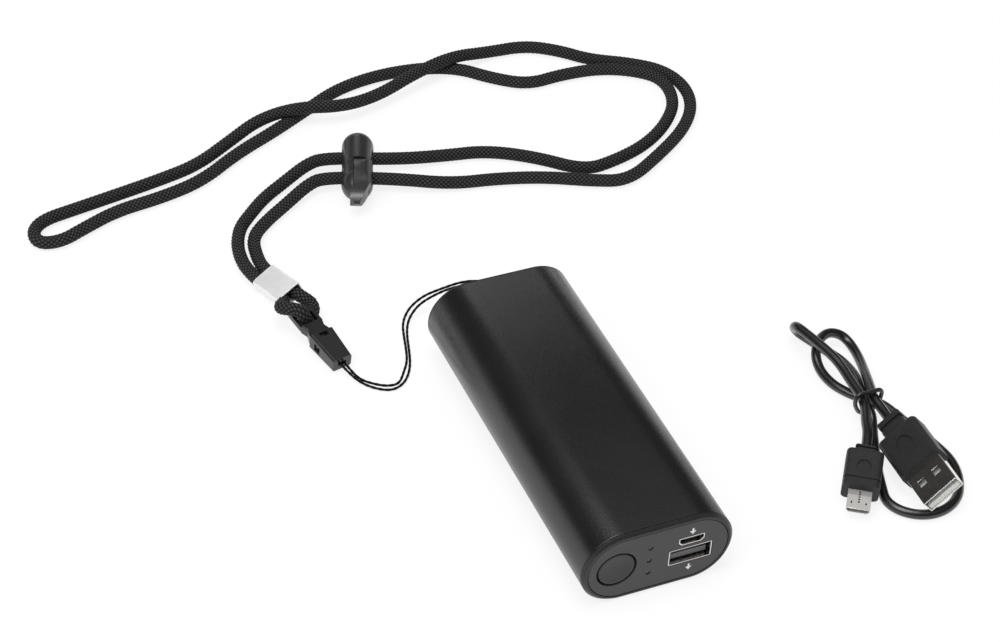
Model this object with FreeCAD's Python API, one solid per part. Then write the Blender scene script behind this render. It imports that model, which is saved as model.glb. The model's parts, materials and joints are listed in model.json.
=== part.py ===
import FreeCAD, Part
import math
import os

os.makedirs("parts", exist_ok=True)

# Rechargeable hand warmer with its neck lanyard and its charging lead.
# The casing lies along Y with the ports at the -Y end, X to the right, Z up, and it rests on z = 0.
# All lengths are millimetres and all angles degrees.

# Casing tube
body_width = 45.6
body_height = 24.4
body_length = 113.0
casing_wall = 1.4
casing_edge_break = 0.25
rail_height = 1.6
rail_depth = 0.8

# Shared clearances
cut_overrun = 1.0
slip_clearance = 0.15
pin_clearance = 0.02
running_clearance = 0.05

# End caps
flange_thickness = 1.3
front_bevel = 0.9
rear_bevel = 1.0
cap_web = 2.4
skirt_depth = 6.0
skirt_wall = 1.2

# Front plate
plate_border = 0.7
plate_thickness = 0.95
plate_recess = 0.05

# Large charging socket
port_margin = 4.95
large_port_width = 13.1
large_port_height = 5.7
large_port_depth = 14.0
large_port_wall = 0.35
large_port_corner = 0.6
port_setback = 0.1
large_tongue_width = 11.1
large_tongue_thickness = 1.84
large_tongue_drop = 0.9
large_tongue_setback = 1.5
large_block_depth = 4.0
large_contact_width = 1.0
large_contact_pitch = 2.25
large_contact_count = 4
contact_thickness = 0.2

# Small charging socket
small_port_width = 7.8
small_port_height = 2.7
small_port_depth = 5.6
small_port_wall = 0.3
small_port_bevel = 0.9
small_tongue_width = 4.0
small_tongue_thickness = 0.7
small_tongue_setback = 1.0
small_block_depth = 1.6
small_contact_width = 0.4
small_contact_pitch = 0.65
small_contact_count = 5

# Power button and its switch
button_margin = 2.6
button_bore_share = 0.276
button_groove = 0.45
button_flange_overlap = 1.0
button_flange_thickness = 0.8
button_face_recess = 0.12
button_dish_depth = 0.3
button_dish_border = 0.65
button_stem_radius = 1.5
button_stem_length = 1.0
button_travel = 0.5
button_flange_gap = 0.1
switch_width = 6.0
switch_depth = 3.4
plunger_radius = 1.7
plunger_reach = 1.2
plunger_hidden = 1.4

# Indicator lights
light_place_share = 0.39
light_pitch = 4.7
light_hole_radius = 0.75
light_post_radius = 0.62
light_post_recess = 0.35
light_bar_width = 2.2
light_bar_overhang = 1.2
light_bar_thickness = 0.7
light_guide_radius = 0.9
light_guide_gap = 0.2
led_width = 1.6
led_height = 1.0
led_depth = 0.7

# Circuit boards
board_thickness = 1.2
board_rise = 1.2
board_side_gap = 2.0
board_front_gap = 0.2
board_nose_gap = 1.2
board_nose_inset = 0.6
board_rear_length = 20.4
button_board_reach = 7.6
button_board_margin = 1.9
button_board_room = 4.4
coil_side = 8.0
coil_height = 4.2
coil_corner = 1.5
coil_across_share = -0.567
coil_row = 10.0
chip_size = (6.0, 5.0, 1.6)
chip_across_share = 0.103
chip_row = 10.0
transistor_size = (5.0, 5.6, 1.1)
transistor_across_share = 0.619
transistor_rows = [6.0, 13.4]
capacitor_size = (1.8, 3.2, 1.6)
capacitor_across_shares = [-0.206, -0.026, 0.155]
capacitor_row = 15.8

# Cells and cradle
cell_pad_gap = 0.3
cell_side_gap = 2.5
cell_half_gap = 0.5
cell_front_gap = 34.5
cell_rear_gap = 13.5
cell_crown_radius = 5.4
cell_crown_height = 0.5
cell_groove_place = 3.4
cell_groove_depth = 0.5
cell_groove_half_width = 0.6
cell_edge_round = 0.6
tab_thickness = 0.3
tab_half_height = 3.2
tab_ear_half_width = 1.4
cradle_clearance = 0.2
cradle_room = 2.8
cradle_bore_clearance = 0.15
cradle_wall = 1.7
cradle_arm_overlap = 2.4
cradle_arm_depth = 4.8
cradle_arm_reach = 20.6
foam_side_reach = 4.4
foam_room = 4.8

# Board screws
screw_inset = 1.2
screw_row = 15.5
screw_radius = 0.9
screw_length = 4.0
screw_head_radius = 1.7
screw_head_height = 1.1

# Heaters
heater_flat_gap = 0.6
heater_thickness = 0.3
heater_front_gap = 16.5
heater_rear_gap = 12.5
pad_thickness = 1.0
sensor_size = (2.2, 3.2, 1.0)
sensor_coil_gap = 1.0
sensor_row = 9.0

# Inner leads
lead_radius = 0.6
lead_bend = 2.4
lead_sway = 1.6
heater_lead_across_shares = [0.35, 0.45]
heater_lead_row = 17.5
heater_lead_low_row = 8.0
sensor_lead_spread = 0.6
sensor_lead_radius = 0.3
battery_lead_radius = 0.7
battery_lead_side = 2.6

# Lanyard pocket at the rear
pocket_half_width = 4.6
pocket_half_height = 2.6
pocket_depth = 4.6
pocket_wall = 1.2
pocket_corner = 0.8
lanyard_pin_radius = 1.0
lanyard_pin_depth = 1.5
lanyard_pin_seat = 2.0

# Cord diameters
neck_cord_diameter = 3.8
string_diameter = 1.0
charge_cable_diameter = 3.0
cable_tie_diameter = 1.3
run_share = 0.45

# Buckle: the local X axis runs from the cord bar to the string end
buckle_place = (-54.2, 79.8, 5.4)
buckle_heading = -78.0
buckle_pitch = 6.5
buckle_half_width = 3.8
buckle_bar_back = 1.1
buckle_bar_front = 0.9
buckle_bar_half_thickness = 0.9
buckle_slot_end = 5.5
buckle_slot_half_width = 2.7
buckle_slot_corner = 0.8
buckle_waist_place = 8.4
buckle_waist_half_width = 2.9
buckle_shoulder = 11.2
buckle_shoulder_half_thickness = 1.7
buckle_mouth_gap = 0.2
buckle_tongue_end = 19.0
buckle_tongue_half_width = 1.0
buckle_tongue_half_thickness = 1.0
buckle_edge_round = 0.5
arm_root_inner = 1.8
arm_root_outer = 2.6
arm_tip_inner = 1.4
arm_tip_outer = 2.0
arm_end = 17.6
arm_half_thickness = 1.0
barb_start = 14.0
barb_end = 16.0
barb_reach = 3.3
socket_end = 23.4
socket_mouth_half_width = 3.9
socket_mouth_half_height = 2.8
socket_end_half_width = 3.2
socket_end_half_height = 2.3
socket_wall = 0.9
socket_floor = 20.0
socket_window_gap = 0.3
socket_window_half_height = 1.3
socket_notch_depth = 2.1
socket_notch_half_width = 1.4
socket_round = 0.8
string_slot_half_width = 1.4
string_slot_half_height = 0.7

# Cord clamp: the local X axis runs towards the buckle
clamp_place = (-56.8, 95.74, 3.5)
clamp_heading = -73.4
clamp_pitch = -8.0
clamp_length = 13.6
clamp_wall = 0.55
clamp_strand_offset = 2.05
clamp_cord_room = 0.1
clamp_corner = 1.5

# Cord lock: the local X axis runs from the dome to the lever tip
lock_place = (-8.8, 152.17, 4.6)
lock_heading = -111.0
lock_radius = 5.2
lock_flat = 4.6
lock_shoulder = 18.0
lock_shoulder_radius = 5.0
lock_end = 24.5
lock_end_radius = 1.8
lock_holes = [4.8, 15.2]
lock_hole_drop = 0.4
lock_hole_clearance = 0.55
lock_hole_flare = 0.8
lock_pivot = 12.4
lock_pivot_rise = 3.4
lock_pin_radius = 0.75
lock_pin_start = -3.4
lock_pin_end = 3.2
lever_heel_radius = 1.5
lever_edge = -1.2
lever_side = 4.8
lever_round = 5.7
lever_hook_edge = -2.2
lever_hook_side = 2.6
lever_hook_room = 1.5
lever_tip_edge = -0.8
lever_tip_side = 0.9
lever_shoulder_place = 22.5
lever_shoulder_side = 4.4
lever_gap = 0.2
lever_channel_floor = 1.7
lever_bump_place = 16.4
lever_bump_top = 5.7
lever_dip_place = 23.5
lever_dip_top = 4.3
lever_nose_place = 27.5
lever_nose_top = 3.8
lever_tip = 31.0
lever_tip_height = 1.4
lever_chin_place = 29.8
lever_chin_height = -0.4
lever_chin_start = 25.1

# Charging lead, large plug: the local X axis runs to the plug's mouth
large_plug_place = (89.1, -47.8, 8.5)
large_plug_heading = -94.0
large_plug_pitch = -3.7
large_plug_roll = 42.0
plug_shell_width = 12.0
plug_shell_height = 4.5
plug_shell_length = 11.75
plug_shell_wall = 0.35
plug_shell_sink = 3.0
plug_core_height = 1.9
plug_core_setback = 0.4
plug_core_width_gap = 0.2
plug_window_side = 2.3
plug_window_place = 5.2
plug_window_spread = 2.6
large_grip_width = 14.0
large_grip_height = 7.8
large_grip_length = 16.2
large_grip_round = 1.8
large_grip_rear_round = 1.5
grip_oval_length = 7.6
grip_oval_width = 5.2
grip_oval_depth = 0.4
large_relief_half_width = 4.0
large_relief_half_height = 2.5
large_relief_length = 6.2
relief_round = 0.8
relief_groove_depth = 0.7
relief_groove_round = 0.45
relief_groove_shares = [0.3, 0.55]

# Charging lead, small plug
small_plug_place = (69.0, -46.8, 4.9)
small_plug_heading = -124.0
small_plug_pitch = 8.0
small_shell_width = 6.85
small_shell_height = 1.85
small_shell_length = 6.9
small_shell_wall = 0.25
small_shell_bevel = 0.7
small_shell_sink = 2.4
small_core_height = 0.5
small_core_setback = 0.6
small_grip_width = 10.8
small_grip_height = 6.8
small_grip_length = 13.6
small_grip_round = 1.6
small_grip_rear_round = 0.9
small_oval_length = 5.2
small_oval_width = 4.2
small_relief_half_width = 3.1
small_relief_half_height = 2.3
small_relief_length = 2.2
small_lip_place = 2.6
small_lip_groove = 0.35

# Cable tie: a closed band round three strands of the lead
tie_across = 88.95
tie_along = -15.0
tie_half_width = 4.4
tie_top = 9.9
tie_shoulder = 6.2
tie_low_half_width = 2.2
tie_bottom = 1.95

# Cord routes, chosen point by point: the route runs straight towards each point and bends at it
neck_cord_route = [
    (-58.8, 95.2, 3.46), (-61.8, 105.9, 1.95), (-61.8, 117.6, 1.95), (-58.0, 127.8, 1.95),
    (-52.1, 134.0, 1.95), (-45.1, 140.6, 1.95), (-36.4, 145.9, 2.4), (-27.5, 150.6, 3.6),
    (-18.0, 150.55, 4.2), (-3.05, 144.83, 4.2), (17.6, 142.4, 2.2), (31.8, 140.1, 1.95), (46.0, 131.5, 1.95),
    (58.5, 119.5, 1.95), (70.5, 121.3, 1.95), (83.0, 125.5, 1.95), (94.4, 133.4, 1.95),
    (103.6, 144.7, 1.95), (105.2, 158.4, 1.95), (97.2, 166.0, 1.95), (86.5, 170.6, 1.95),
    (73.0, 171.5, 1.95), (60.0, 170.0, 1.95), (49.5, 177.5, 1.95), (41.0, 186.5, 1.95),
    (29.0, 190.8, 1.95), (13.0, 191.8, 1.95), (-3.0, 188.5, 1.95), (-17.0, 180.5, 1.95),
    (-31.0, 172.8, 1.95), (-46.0, 165.6, 1.95), (-61.0, 155.6, 1.95), (-76.0, 151.6, 1.95),
    (-91.0, 149.8, 1.95), (-103.0, 144.8, 1.95), (-111.5, 140.8, 1.95), (-118.6, 142.0, 1.95),
    (-119.0, 148.4, 1.95), (-114.0, 153.0, 1.95), (-104.1, 154.8, 1.95), (-90.1, 157.4, 1.95),
    (-75.1, 160.3, 1.95), (-60.0, 164.0, 1.95), (-46.0, 172.8, 1.95), (-33.9, 178.8, 3.9),
    (-21.0, 177.8, 6.4), (-6.1, 173.3, 6.4), (8.6, 177.7, 4.6), (23.6, 183.1, 6.5),
    (39.0, 188.1, 6.5), (54.4, 192.0, 2.2), (67.8, 191.5, 1.95), (78.0, 185.0, 1.95),
    (85.8, 176.6, 1.95), (98.0, 170.2, 1.95), (107.5, 162.4, 1.95), (110.6, 151.2, 1.95),
    (107.6, 139.6, 1.95), (98.9, 129.0, 1.95), (85.9, 119.6, 1.95), (69.8, 109.8, 1.95),
    (58.0, 114.0, 1.95), (45.0, 120.5, 1.95), (30.0, 125.0, 1.95), (14.2, 127.2, 2.4),
    (-6.77, 135.1, 4.2), (-21.71, 140.83, 4.2), (-30.0, 140.4, 3.6), (-38.9, 135.4, 2.4), (-48.7, 128.8, 1.95),
    (-55.2, 122.5, 1.95), (-56.9, 113.5, 1.95), (-57.35, 104.77, 2.26), (-54.9, 96.4, 3.46),
]
buckle_loop_route = [
    (-57.97, 92.49, 3.89), (-56.3, 86.89, 4.71), (-58.6, 83.2, 7.9), (-55.2, 77.4, 9.3),
    (-53.54, 76.2, 5.0), (-53.0, 78.4, 1.92), (-49.4, 85.0, 2.9), (-52.38, 88.07, 4.71),
    (-54.05, 93.67, 3.89),
]
string_route = [
    (-49.14, 59.14, 2.98), (-48.42, 55.74, 2.58), (-46.2, 50.9, 0.9), (-42.6, 47.7, 0.55),
    (-39.0, 45.6, 0.55), (-35.8, 45.4, 0.55), (-33.0, 49.3, 0.55), (-30.2, 53.7, 0.55),
    (-28.5, 59.0, 0.55), (-27.0, 64.3, 0.55), (-26.0, 69.0, 0.55), (-24.1, 73.2, 0.8),
    (-20.8, 75.9, 2.2), (-16.4, 75.4, 5.6), (-11.9, 72.9, 9.4), (-6.6, 70.4, 12.4),
    (-1.8, 67.6, 13.6), (1.4, 63.8, 13.2), (1.65, 59.5, 12.3), (1.65, 53.3, 12.2),
    (-1.65, 53.3, 12.2), (-1.65, 59.3, 12.3), (-2.6, 63.6, 12.9), (-5.6, 67.6, 12.6),
    (-10.0, 70.4, 10.4), (-14.4, 72.6, 7.2), (-18.6, 74.4, 3.6), (-22.4, 72.4, 1.2),
    (-24.4, 68.6, 0.55), (-25.6, 64.0, 0.55), (-27.2, 58.7, 0.55), (-28.8, 53.2, 0.55),
    (-31.0, 48.3, 0.55), (-34.4, 44.2, 0.55), (-38.6, 43.0, 0.55), (-42.6, 45.0, 0.55),
    (-46.9, 48.9, 0.9), (-49.7, 55.47, 2.58), (-50.42, 58.87, 2.98),
]
charge_cable_route = [
    (77.75, -33.82, 7.1), (81.2, -28.7, 7.96), (83.0, -24.2, 7.8), (85.9, -18.7, 7.6),
    (87.2, -15.1, 7.5), (87.4, -11.5, 7.7), (87.4, -6.6, 8.0), (87.6, -1.7, 8.4),
    (87.2, 2.1, 9.0), (86.4, 6.0, 9.3), (85.3, 10.3, 9.4), (84.2, 15.4, 9.2),
    (82.9, 20.6, 8.9), (86.5, 25.2, 1.6), (89.9, 17.1, 1.55), (91.8, 12.3, 1.6),
    (93.2, 7.1, 2.2), (92.4, -1.8, 4.2), (90.6, -6.8, 5.2), (89.5, -12.0, 4.7),
    (89.0, -15.0, 4.6), (89.2, -17.6, 3.2), (88.5, -19.9, 2.0), (86.2, -24.6, 1.55),
    (80.6, -36.9, 1.55), (77.7, -45.1, 1.55), (78.0, -49.6, 1.55), (79.4, -54.3, 1.55),
    (82.8, -57.3, 1.55), (87.5, -58.8, 1.55), (92.6, -58.0, 1.55), (97.4, -54.9, 1.55),
    (100.9, -50.6, 1.55), (103.1, -45.3, 1.55), (103.7, -39.9, 1.55), (103.4, -34.7, 1.55),
    (100.6, -27.1, 1.55), (97.8, -20.5, 1.55), (96.0, -14.6, 1.7), (93.8, -11.0, 1.6),
    (90.0, -7.6, 1.55), (87.6, -3.6, 1.55), (86.2, -0.4, 1.55), (85.3, 3.8, 1.6),
    (85.3, 7.8, 2.2), (85.8, 11.1, 3.8), (87.6, 13.8, 5.0), (90.6, 16.4, 5.4),
    (94.4, 17.8, 4.8), (98.0, 16.8, 3.4), (99.9, 13.8, 2.2), (99.9, 8.9, 2.0),
    (98.0, 2.2, 3.0), (94.3, -6.5, 5.8), (91.4, -13.0, 7.2), (90.5, -15.4, 7.5),
    (90.91, -21.92, 6.82), (90.66, -25.45, 7.05),
]

# Values worked out from the driving dimensions
middle = body_height / 2
front = -body_length / 2
rear = body_length / 2
inner_half_height = middle - casing_wall
inner_half_width = body_width / 2 - casing_wall
flat_half_width = (body_width - body_height) / 2
web_back = front + cap_web
skirt_back = front + skirt_depth
board_under = middle + board_rise
board_top = board_under + board_thickness
plate_inset = front_bevel + plate_border
plate_half_width = body_width / 2 - plate_inset
port_offset = plate_half_width - port_margin - large_port_width / 2
face_room = 2 * plate_half_width - port_margin - button_margin - large_port_width
button_bore_radius = face_room * button_bore_share
button_offset = plate_half_width - button_margin - button_bore_radius
button_flange_radius = button_bore_radius + button_flange_overlap
button_dish_radius = button_bore_radius - button_groove - button_dish_border
light_room = port_offset - large_port_width / 2 + button_offset - button_bore_radius
light_offset = button_offset - button_bore_radius - light_room * light_place_share
flange_front = web_back + button_flange_gap
stem_front = flange_front + button_flange_thickness
plunger_front = stem_front + button_stem_length
switch_front = plunger_front + plunger_reach
button_board_front = switch_front + switch_depth
board_step = button_board_front + board_thickness
board_half_width = inner_half_width - board_side_gap
button_board_left = flat_half_width + button_board_reach
button_board_right = light_offset - button_board_margin
button_board_half_height = inner_half_height - button_board_room
sensor_across = board_half_width * coil_across_share + coil_side / 2 + sensor_coil_gap
board_front_left = board_nose_gap - button_board_right
board_front_right = board_half_width - board_nose_inset
board_front = web_back + board_front_gap
board_rear = board_step + board_rear_length
screw_offset = board_half_width - screw_inset
height_cell_radius = inner_half_height - heater_thickness - pad_thickness - cell_pad_gap
width_cell_radius = (inner_half_width - cell_side_gap - cell_half_gap) / 2
cell_radius = min(height_cell_radius, width_cell_radius)
cell_offset = cell_radius + cell_half_gap
cell_length = body_length - cell_front_gap - cell_rear_gap
cradle_half_height = inner_half_height - cradle_room
cradle_arm_inner = board_half_width - cradle_arm_overlap
heater_width = 2 * (flat_half_width - heater_flat_gap)
foam_half_width = flat_half_width + foam_side_reach
foam_half_height = inner_half_height - foam_room
cells_front = front + cell_front_gap
cells_rear = cells_front + cell_length
cradle_front = cells_front - tab_thickness - cradle_wall
cradle_rear = cells_rear + tab_thickness + cradle_wall
film_top = middle + inner_half_height
film_low = middle - inner_half_height

Vector = FreeCAD.Vector


def block(x_low, x_high, y_low, y_high, z_low, z_high):
    """A plain box between two corners."""
    return Part.makeBox(x_high - x_low, y_high - y_low, z_high - z_low, Vector(x_low, y_low, z_low))


def centred_block(center, size):
    """A plain box of the given size standing on the middle of its underside."""
    x, y, z = center
    width, depth, height = size
    return block(x - width / 2, x + width / 2, y - depth / 2, y + depth / 2, z, z + height)


def rod(start, direction, radius, length):
    """A round bar from a start point along a direction."""
    return Part.makeCylinder(radius, length, Vector(*start), Vector(*direction))


def rounded_face(half_width, half_height, corner):
    """A rounded rectangle in the XZ plane about the origin; equal corner and half height give a stadium."""
    wide, high = half_width - corner, half_height - corner
    turn = corner * math.sqrt(2) / 2
    corners = [(wide, high, 1, 1), (-wide, high, -1, 1), (-wide, -high, -1, -1), (wide, -high, 1, -1)]
    starts = [(half_width, high), (-wide, half_height), (-half_width, -high), (wide, -half_height)]
    ends = [(wide, half_height), (-half_width, high), (-wide, -half_height), (half_width, -high)]
    edges = []
    for index, (x, z, side, level) in enumerate(corners):
        start, end, following = starts[index], ends[index], starts[(index + 1) % len(starts)]
        peak = Vector(x + side * turn, 0, z + level * turn)
        edges.append(Part.Arc(Vector(start[0], 0, start[1]), peak, Vector(end[0], 0, end[1])).toShape())
        if end != following:
            straight = Part.LineSegment(Vector(end[0], 0, end[1]), Vector(following[0], 0, following[1]))
            edges.append(straight.toShape())
    return Part.Face(Part.Wire(edges))


def prism(half_width, half_height, corner, y_low, y_high, x=0, z=0):
    """A rounded-rectangle bar along Y."""
    bar = rounded_face(half_width, half_height, corner).extrude(Vector(0, y_high - y_low, 0))
    bar.translate(Vector(x, y_low, z))
    return bar


def stadium(inset, y_low, y_high):
    """A bar along Y whose section is the casing's outline drawn in by inset."""
    half_height = middle - inset
    return prism(body_width / 2 - inset, half_height, half_height, y_low, y_high, 0, middle)


def end_edges(shape, level):
    """The edges of a shape that lie in the plane y = level."""
    found = []
    for edge in shape.Edges:
        distance = abs(edge.BoundBox.YMin - level) + abs(edge.BoundBox.YMax - level)
        if distance < pin_clearance:
            found.append(edge)
    return found


def polygon_face(points):
    """A flat face through points given as (x, y, z)."""
    corners = [Vector(*point) for point in points]
    return Part.Face(Part.makePolygon(corners + corners[:1]))


def placed(shape, place, heading, pitch=0, roll=0):
    """A shape built about its own axes, turned and set where it lies."""
    turned = shape.copy()
    setting = FreeCAD.Placement(Vector(*place), FreeCAD.Rotation(heading, pitch, roll))
    turned.Placement = setting.multiply(turned.Placement)
    return turned


def route_path(route):
    """Straight runs joined by tangent arcs, each as large as its two runs allow, with the arcs' radii."""
    points = [Vector(*point) for point in route]
    edges, radii, start = [], [], points[0]
    for before, corner, after in zip(points, points[1:], points[2:]):
        back, ahead = before - corner, after - corner
        half_turn = (math.pi - back.getAngle(ahead)) / 2
        cut = run_share * min(back.Length, ahead.Length)
        radius = cut / math.tan(half_turn)
        back.normalize()
        ahead.normalize()
        inward = (back + ahead).normalize()
        first, last = corner + back * cut, corner + ahead * cut
        peak = corner + inward * (radius / math.cos(half_turn) - radius)
        edges.append(Part.LineSegment(start, first).toShape())
        edges.append(Part.Arc(first, peak, last).toShape())
        radii.append(radius)
        start = last
    edges.append(Part.LineSegment(start, points[-1]).toShape())
    return Part.Wire(edges), radii


def cord(name, route, diameter):
    """A round cord along a route, with its length, tightest bend and volume printed."""
    path, radii = route_path(route)
    first, second = Vector(*route[0]), Vector(*route[1])
    ring = Part.Wire(Part.Circle(first, second - first, diameter / 2).toShape())
    tube = path.makePipeShell([ring], True, False)
    expected = math.pi * diameter ** 2 / 4 * path.Length
    print(name, "length", round(path.Length, 1), "volume share", round(tube.Volume / expected, 4))
    print(name, "radii", [round(radius, 1) for radius in radii])
    return tube


def save(name, *solids):
    """Writes one named piece, or a group of like pieces, as a STEP file."""
    shape = solids[0] if len(solids) == 1 else Part.makeCompound(list(solids))
    for solid in shape.Solids:
        assert solid.isValid(), name
    shape.exportStep("parts/" + name + ".step")
    print(name, "solids", len(shape.Solids), "volume", round(shape.Volume, 1))


# Casing

def casing_tube():
    """The drawn tube with two inner rails that guide the cradle."""
    low, high = front + flange_thickness, rear - flange_thickness
    outside = stadium(0, low, high)
    outside = outside.makeChamfer(casing_edge_break, end_edges(outside, low) + end_edges(outside, high))
    tube = outside.cut(stadium(casing_wall, low - cut_overrun, high + cut_overrun))
    rail_low, rail_high = skirt_back + slip_clearance, rear - skirt_depth - slip_clearance
    reach = body_width / 2 - casing_wall
    for side in (-1, 1):
        edges = sorted([side * (reach - rail_depth), side * (reach + casing_wall / 2)])
        rail = block(edges[0], edges[1], rail_low, rail_high,
                     middle - rail_height / 2, middle + rail_height / 2)
        tube = tube.fuse(rail)
    return tube.removeSplitter()


def cap_blank(outer, inward, bevel):
    """A cap with a bevelled flange, a web and a skirt that slips into the casing."""
    ends = sorted([outer, outer + inward * flange_thickness])
    flange = stadium(0, ends[0], ends[1])
    flange = flange.makeChamfer(bevel, end_edges(flange, outer))
    seat = outer + inward * flange_thickness
    flange = flange.makeChamfer(casing_edge_break, end_edges(flange, seat))
    skirt_inset = casing_wall + slip_clearance
    ends = sorted([seat - inward * slip_clearance, outer + inward * skirt_depth])
    plug = stadium(skirt_inset, ends[0], ends[1])
    hollow_ends = sorted([outer + inward * cap_web, outer + inward * (skirt_depth + cut_overrun)])
    hollow = stadium(skirt_inset + skirt_wall, hollow_ends[0], hollow_ends[1])
    return flange.fuse(plug).cut(hollow).removeSplitter()


def large_port_center():
    return (port_offset, board_under - large_port_height / 2)


def small_port_center():
    return (port_offset, board_top + small_port_height / 2)


def small_port_bar(inset, y_low, y_high):
    """The small socket's outline: a wide top and bevelled lower corners, drawn in by inset."""
    x, z = small_port_center()
    half_width, half_height = small_port_width / 2 - inset, small_port_height / 2 - inset
    bevel = small_port_bevel
    outline = [
        (x - half_width, y_low, z + half_height), (x + half_width, y_low, z + half_height),
        (x + half_width, y_low, z - half_height + bevel), (x + half_width - bevel, y_low, z - half_height),
        (x - half_width + bevel, y_low, z - half_height), (x - half_width, y_low, z - half_height + bevel),
    ]
    bar = polygon_face(outline).extrude(Vector(0, y_high - y_low, 0))
    uprights = [edge for edge in bar.Edges if edge.BoundBox.YLength > (y_high - y_low) / 2]
    return bar.makeFillet(bevel / 4, uprights)


def light_levels():
    return [middle + step * light_pitch for step in (-1, 0, 1)]


def front_openings(y_low, y_high):
    """Everything that passes through the front plate and the web behind it."""
    x, z = large_port_center()
    large = prism(large_port_width / 2 + slip_clearance, large_port_height / 2 + slip_clearance,
                  large_port_corner + slip_clearance, y_low, y_high, x, z)
    depth = y_high - y_low
    cuts = [large, small_port_bar(-slip_clearance, y_low, y_high)]
    cuts.append(rod((-button_offset, y_low, middle), (0, 1, 0), button_bore_radius, depth))
    for level in light_levels():
        cuts.append(rod((-light_offset, y_low, level), (0, 1, 0), light_hole_radius, depth))
    return Part.makeCompound(cuts)


def front_cap():
    """The port end: flange, web with the openings and a shallow seat for the plate."""
    cap = cap_blank(front, 1, front_bevel)
    seat = stadium(plate_inset, front - cut_overrun, front + plate_recess + plate_thickness)
    return cap.cut(seat).cut(front_openings(front - cut_overrun, web_back + cut_overrun))


def front_plate():
    """The satin plate that carries the ports, the lights and the button."""
    low, high = front + plate_recess, front + plate_recess + plate_thickness
    plate = stadium(plate_inset + slip_clearance, low, high)
    plate = plate.makeChamfer(slip_clearance, end_edges(plate, low))
    return plate.cut(front_openings(low - cut_overrun, high + cut_overrun))


def rear_cap():
    """The lanyard end: flange, web and a pocket with two bores for its cross pin."""
    cap = cap_blank(rear, -1, rear_bevel)
    back = rear - pocket_depth
    boss = prism(pocket_half_width + pocket_wall, pocket_half_height + pocket_wall,
                 pocket_corner + pocket_wall, back - pocket_wall, rear - cap_web, 0, middle)
    pocket = prism(pocket_half_width, pocket_half_height, pocket_corner, back, rear + cut_overrun, 0, middle)
    bore_reach = pocket_half_height + lanyard_pin_seat
    bore = rod((0, rear - lanyard_pin_depth, middle - bore_reach), (0, 0, 1),
               lanyard_pin_radius + pin_clearance, 2 * bore_reach)
    return cap.fuse(boss).cut(pocket).cut(bore).removeSplitter()


def lanyard_pin():
    """The steel cross pin that the string goes round."""
    reach = pocket_half_height + lanyard_pin_seat
    return rod((0, rear - lanyard_pin_depth, middle - reach), (0, 0, 1), lanyard_pin_radius, 2 * reach)


# Button, switch and lights

def power_button():
    """A dished cap with a flange behind the web and a stem for the switch."""
    face = front + plate_recess + button_face_recess
    place = (-button_offset, face, middle)
    cap = rod(place, (0, 1, 0), button_bore_radius - button_groove, stem_front - face)
    cap = cap.makeFillet(button_groove / 2, end_edges(cap, face))
    ball_radius = (button_dish_radius ** 2 + button_dish_depth ** 2) / (2 * button_dish_depth)
    ball_centre = Vector(-button_offset, face + button_dish_depth - ball_radius, middle)
    ball = Part.makeSphere(ball_radius, ball_centre)
    flange_start = (-button_offset, flange_front, middle)
    flange = rod(flange_start, (0, 1, 0), button_flange_radius, button_flange_thickness)
    stem = rod((-button_offset, stem_front, middle), (0, 1, 0), button_stem_radius, button_stem_length)
    return cap.cut(ball).fuse([flange, stem]).removeSplitter()


def switch_plunger():
    length = plunger_reach + plunger_hidden
    return rod((-button_offset, plunger_front, middle), (0, 1, 0), plunger_radius, length)


def switch_base():
    """The switch housing with a bore deep enough for the plunger's travel."""
    half = switch_width / 2
    base = block(-button_offset - half, -button_offset + half, switch_front, button_board_front,
                 middle - half, middle + half)
    bore_start = (-button_offset, switch_front - cut_overrun, middle)
    bore = rod(bore_start, (0, 1, 0), plunger_radius + running_clearance,
               cut_overrun + plunger_hidden + button_travel + running_clearance)
    return base.cut(bore)


def light_guide():
    """One clear moulding: three posts through the plate, a bar behind the web, three guides to the lamps."""
    tip = front + plate_recess + light_post_recess
    half = light_bar_width / 2
    reach = light_pitch + light_bar_overhang
    guide = block(-light_offset - half, -light_offset + half, web_back, web_back + light_bar_thickness,
                  middle - reach, middle + reach)
    guide_end = button_board_front - led_depth - light_guide_gap
    for level in light_levels():
        post = rod((-light_offset, tip, level), (0, 1, 0), light_post_radius, web_back - tip)
        start = web_back + light_bar_thickness
        tail = rod((-light_offset, start, level), (0, 1, 0), light_guide_radius, guide_end - start)
        guide = guide.fuse([post, tail])
    return guide.removeSplitter()


def status_lamps():
    lamps = []
    for level in light_levels():
        lamps.append(block(-light_offset - led_width / 2, -light_offset + led_width / 2,
                           button_board_front - led_depth, button_board_front,
                           level - led_height / 2, level + led_height / 2))
    return lamps


# Boards

def button_board():
    return block(-button_board_left, -button_board_right, button_board_front, board_step,
                 middle - button_board_half_height, middle + button_board_half_height)


def screw_places():
    return [(side * screw_offset, board_step + screw_row) for side in (-1, 1)]


def main_board():
    """The board under the small socket and over the large one, stepped beside the button board."""
    wide = block(-board_half_width, board_half_width, board_step, board_rear, board_under, board_top)
    nose = block(board_front_left, board_front_right, board_front, board_step, board_under, board_top)
    board = wide.fuse(nose).removeSplitter()
    for x, y in screw_places():
        hole = rod((x, y, board_under - cut_overrun), (0, 0, 1), screw_radius + slip_clearance,
                   board_thickness + 2 * cut_overrun)
        board = board.cut(hole)
    return board


def on_board(across_share, row):
    """A place on the main board's top: a share of its half width, and a row counted from its step."""
    return (board_half_width * across_share, board_step + row, board_top)


def power_coil():
    coil = centred_block(on_board(coil_across_share, coil_row), (coil_side, coil_side, coil_height))
    uprights = [edge for edge in coil.Edges if edge.BoundBox.ZLength > coil_height / 2]
    return coil.makeFillet(coil_corner, uprights)


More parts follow.
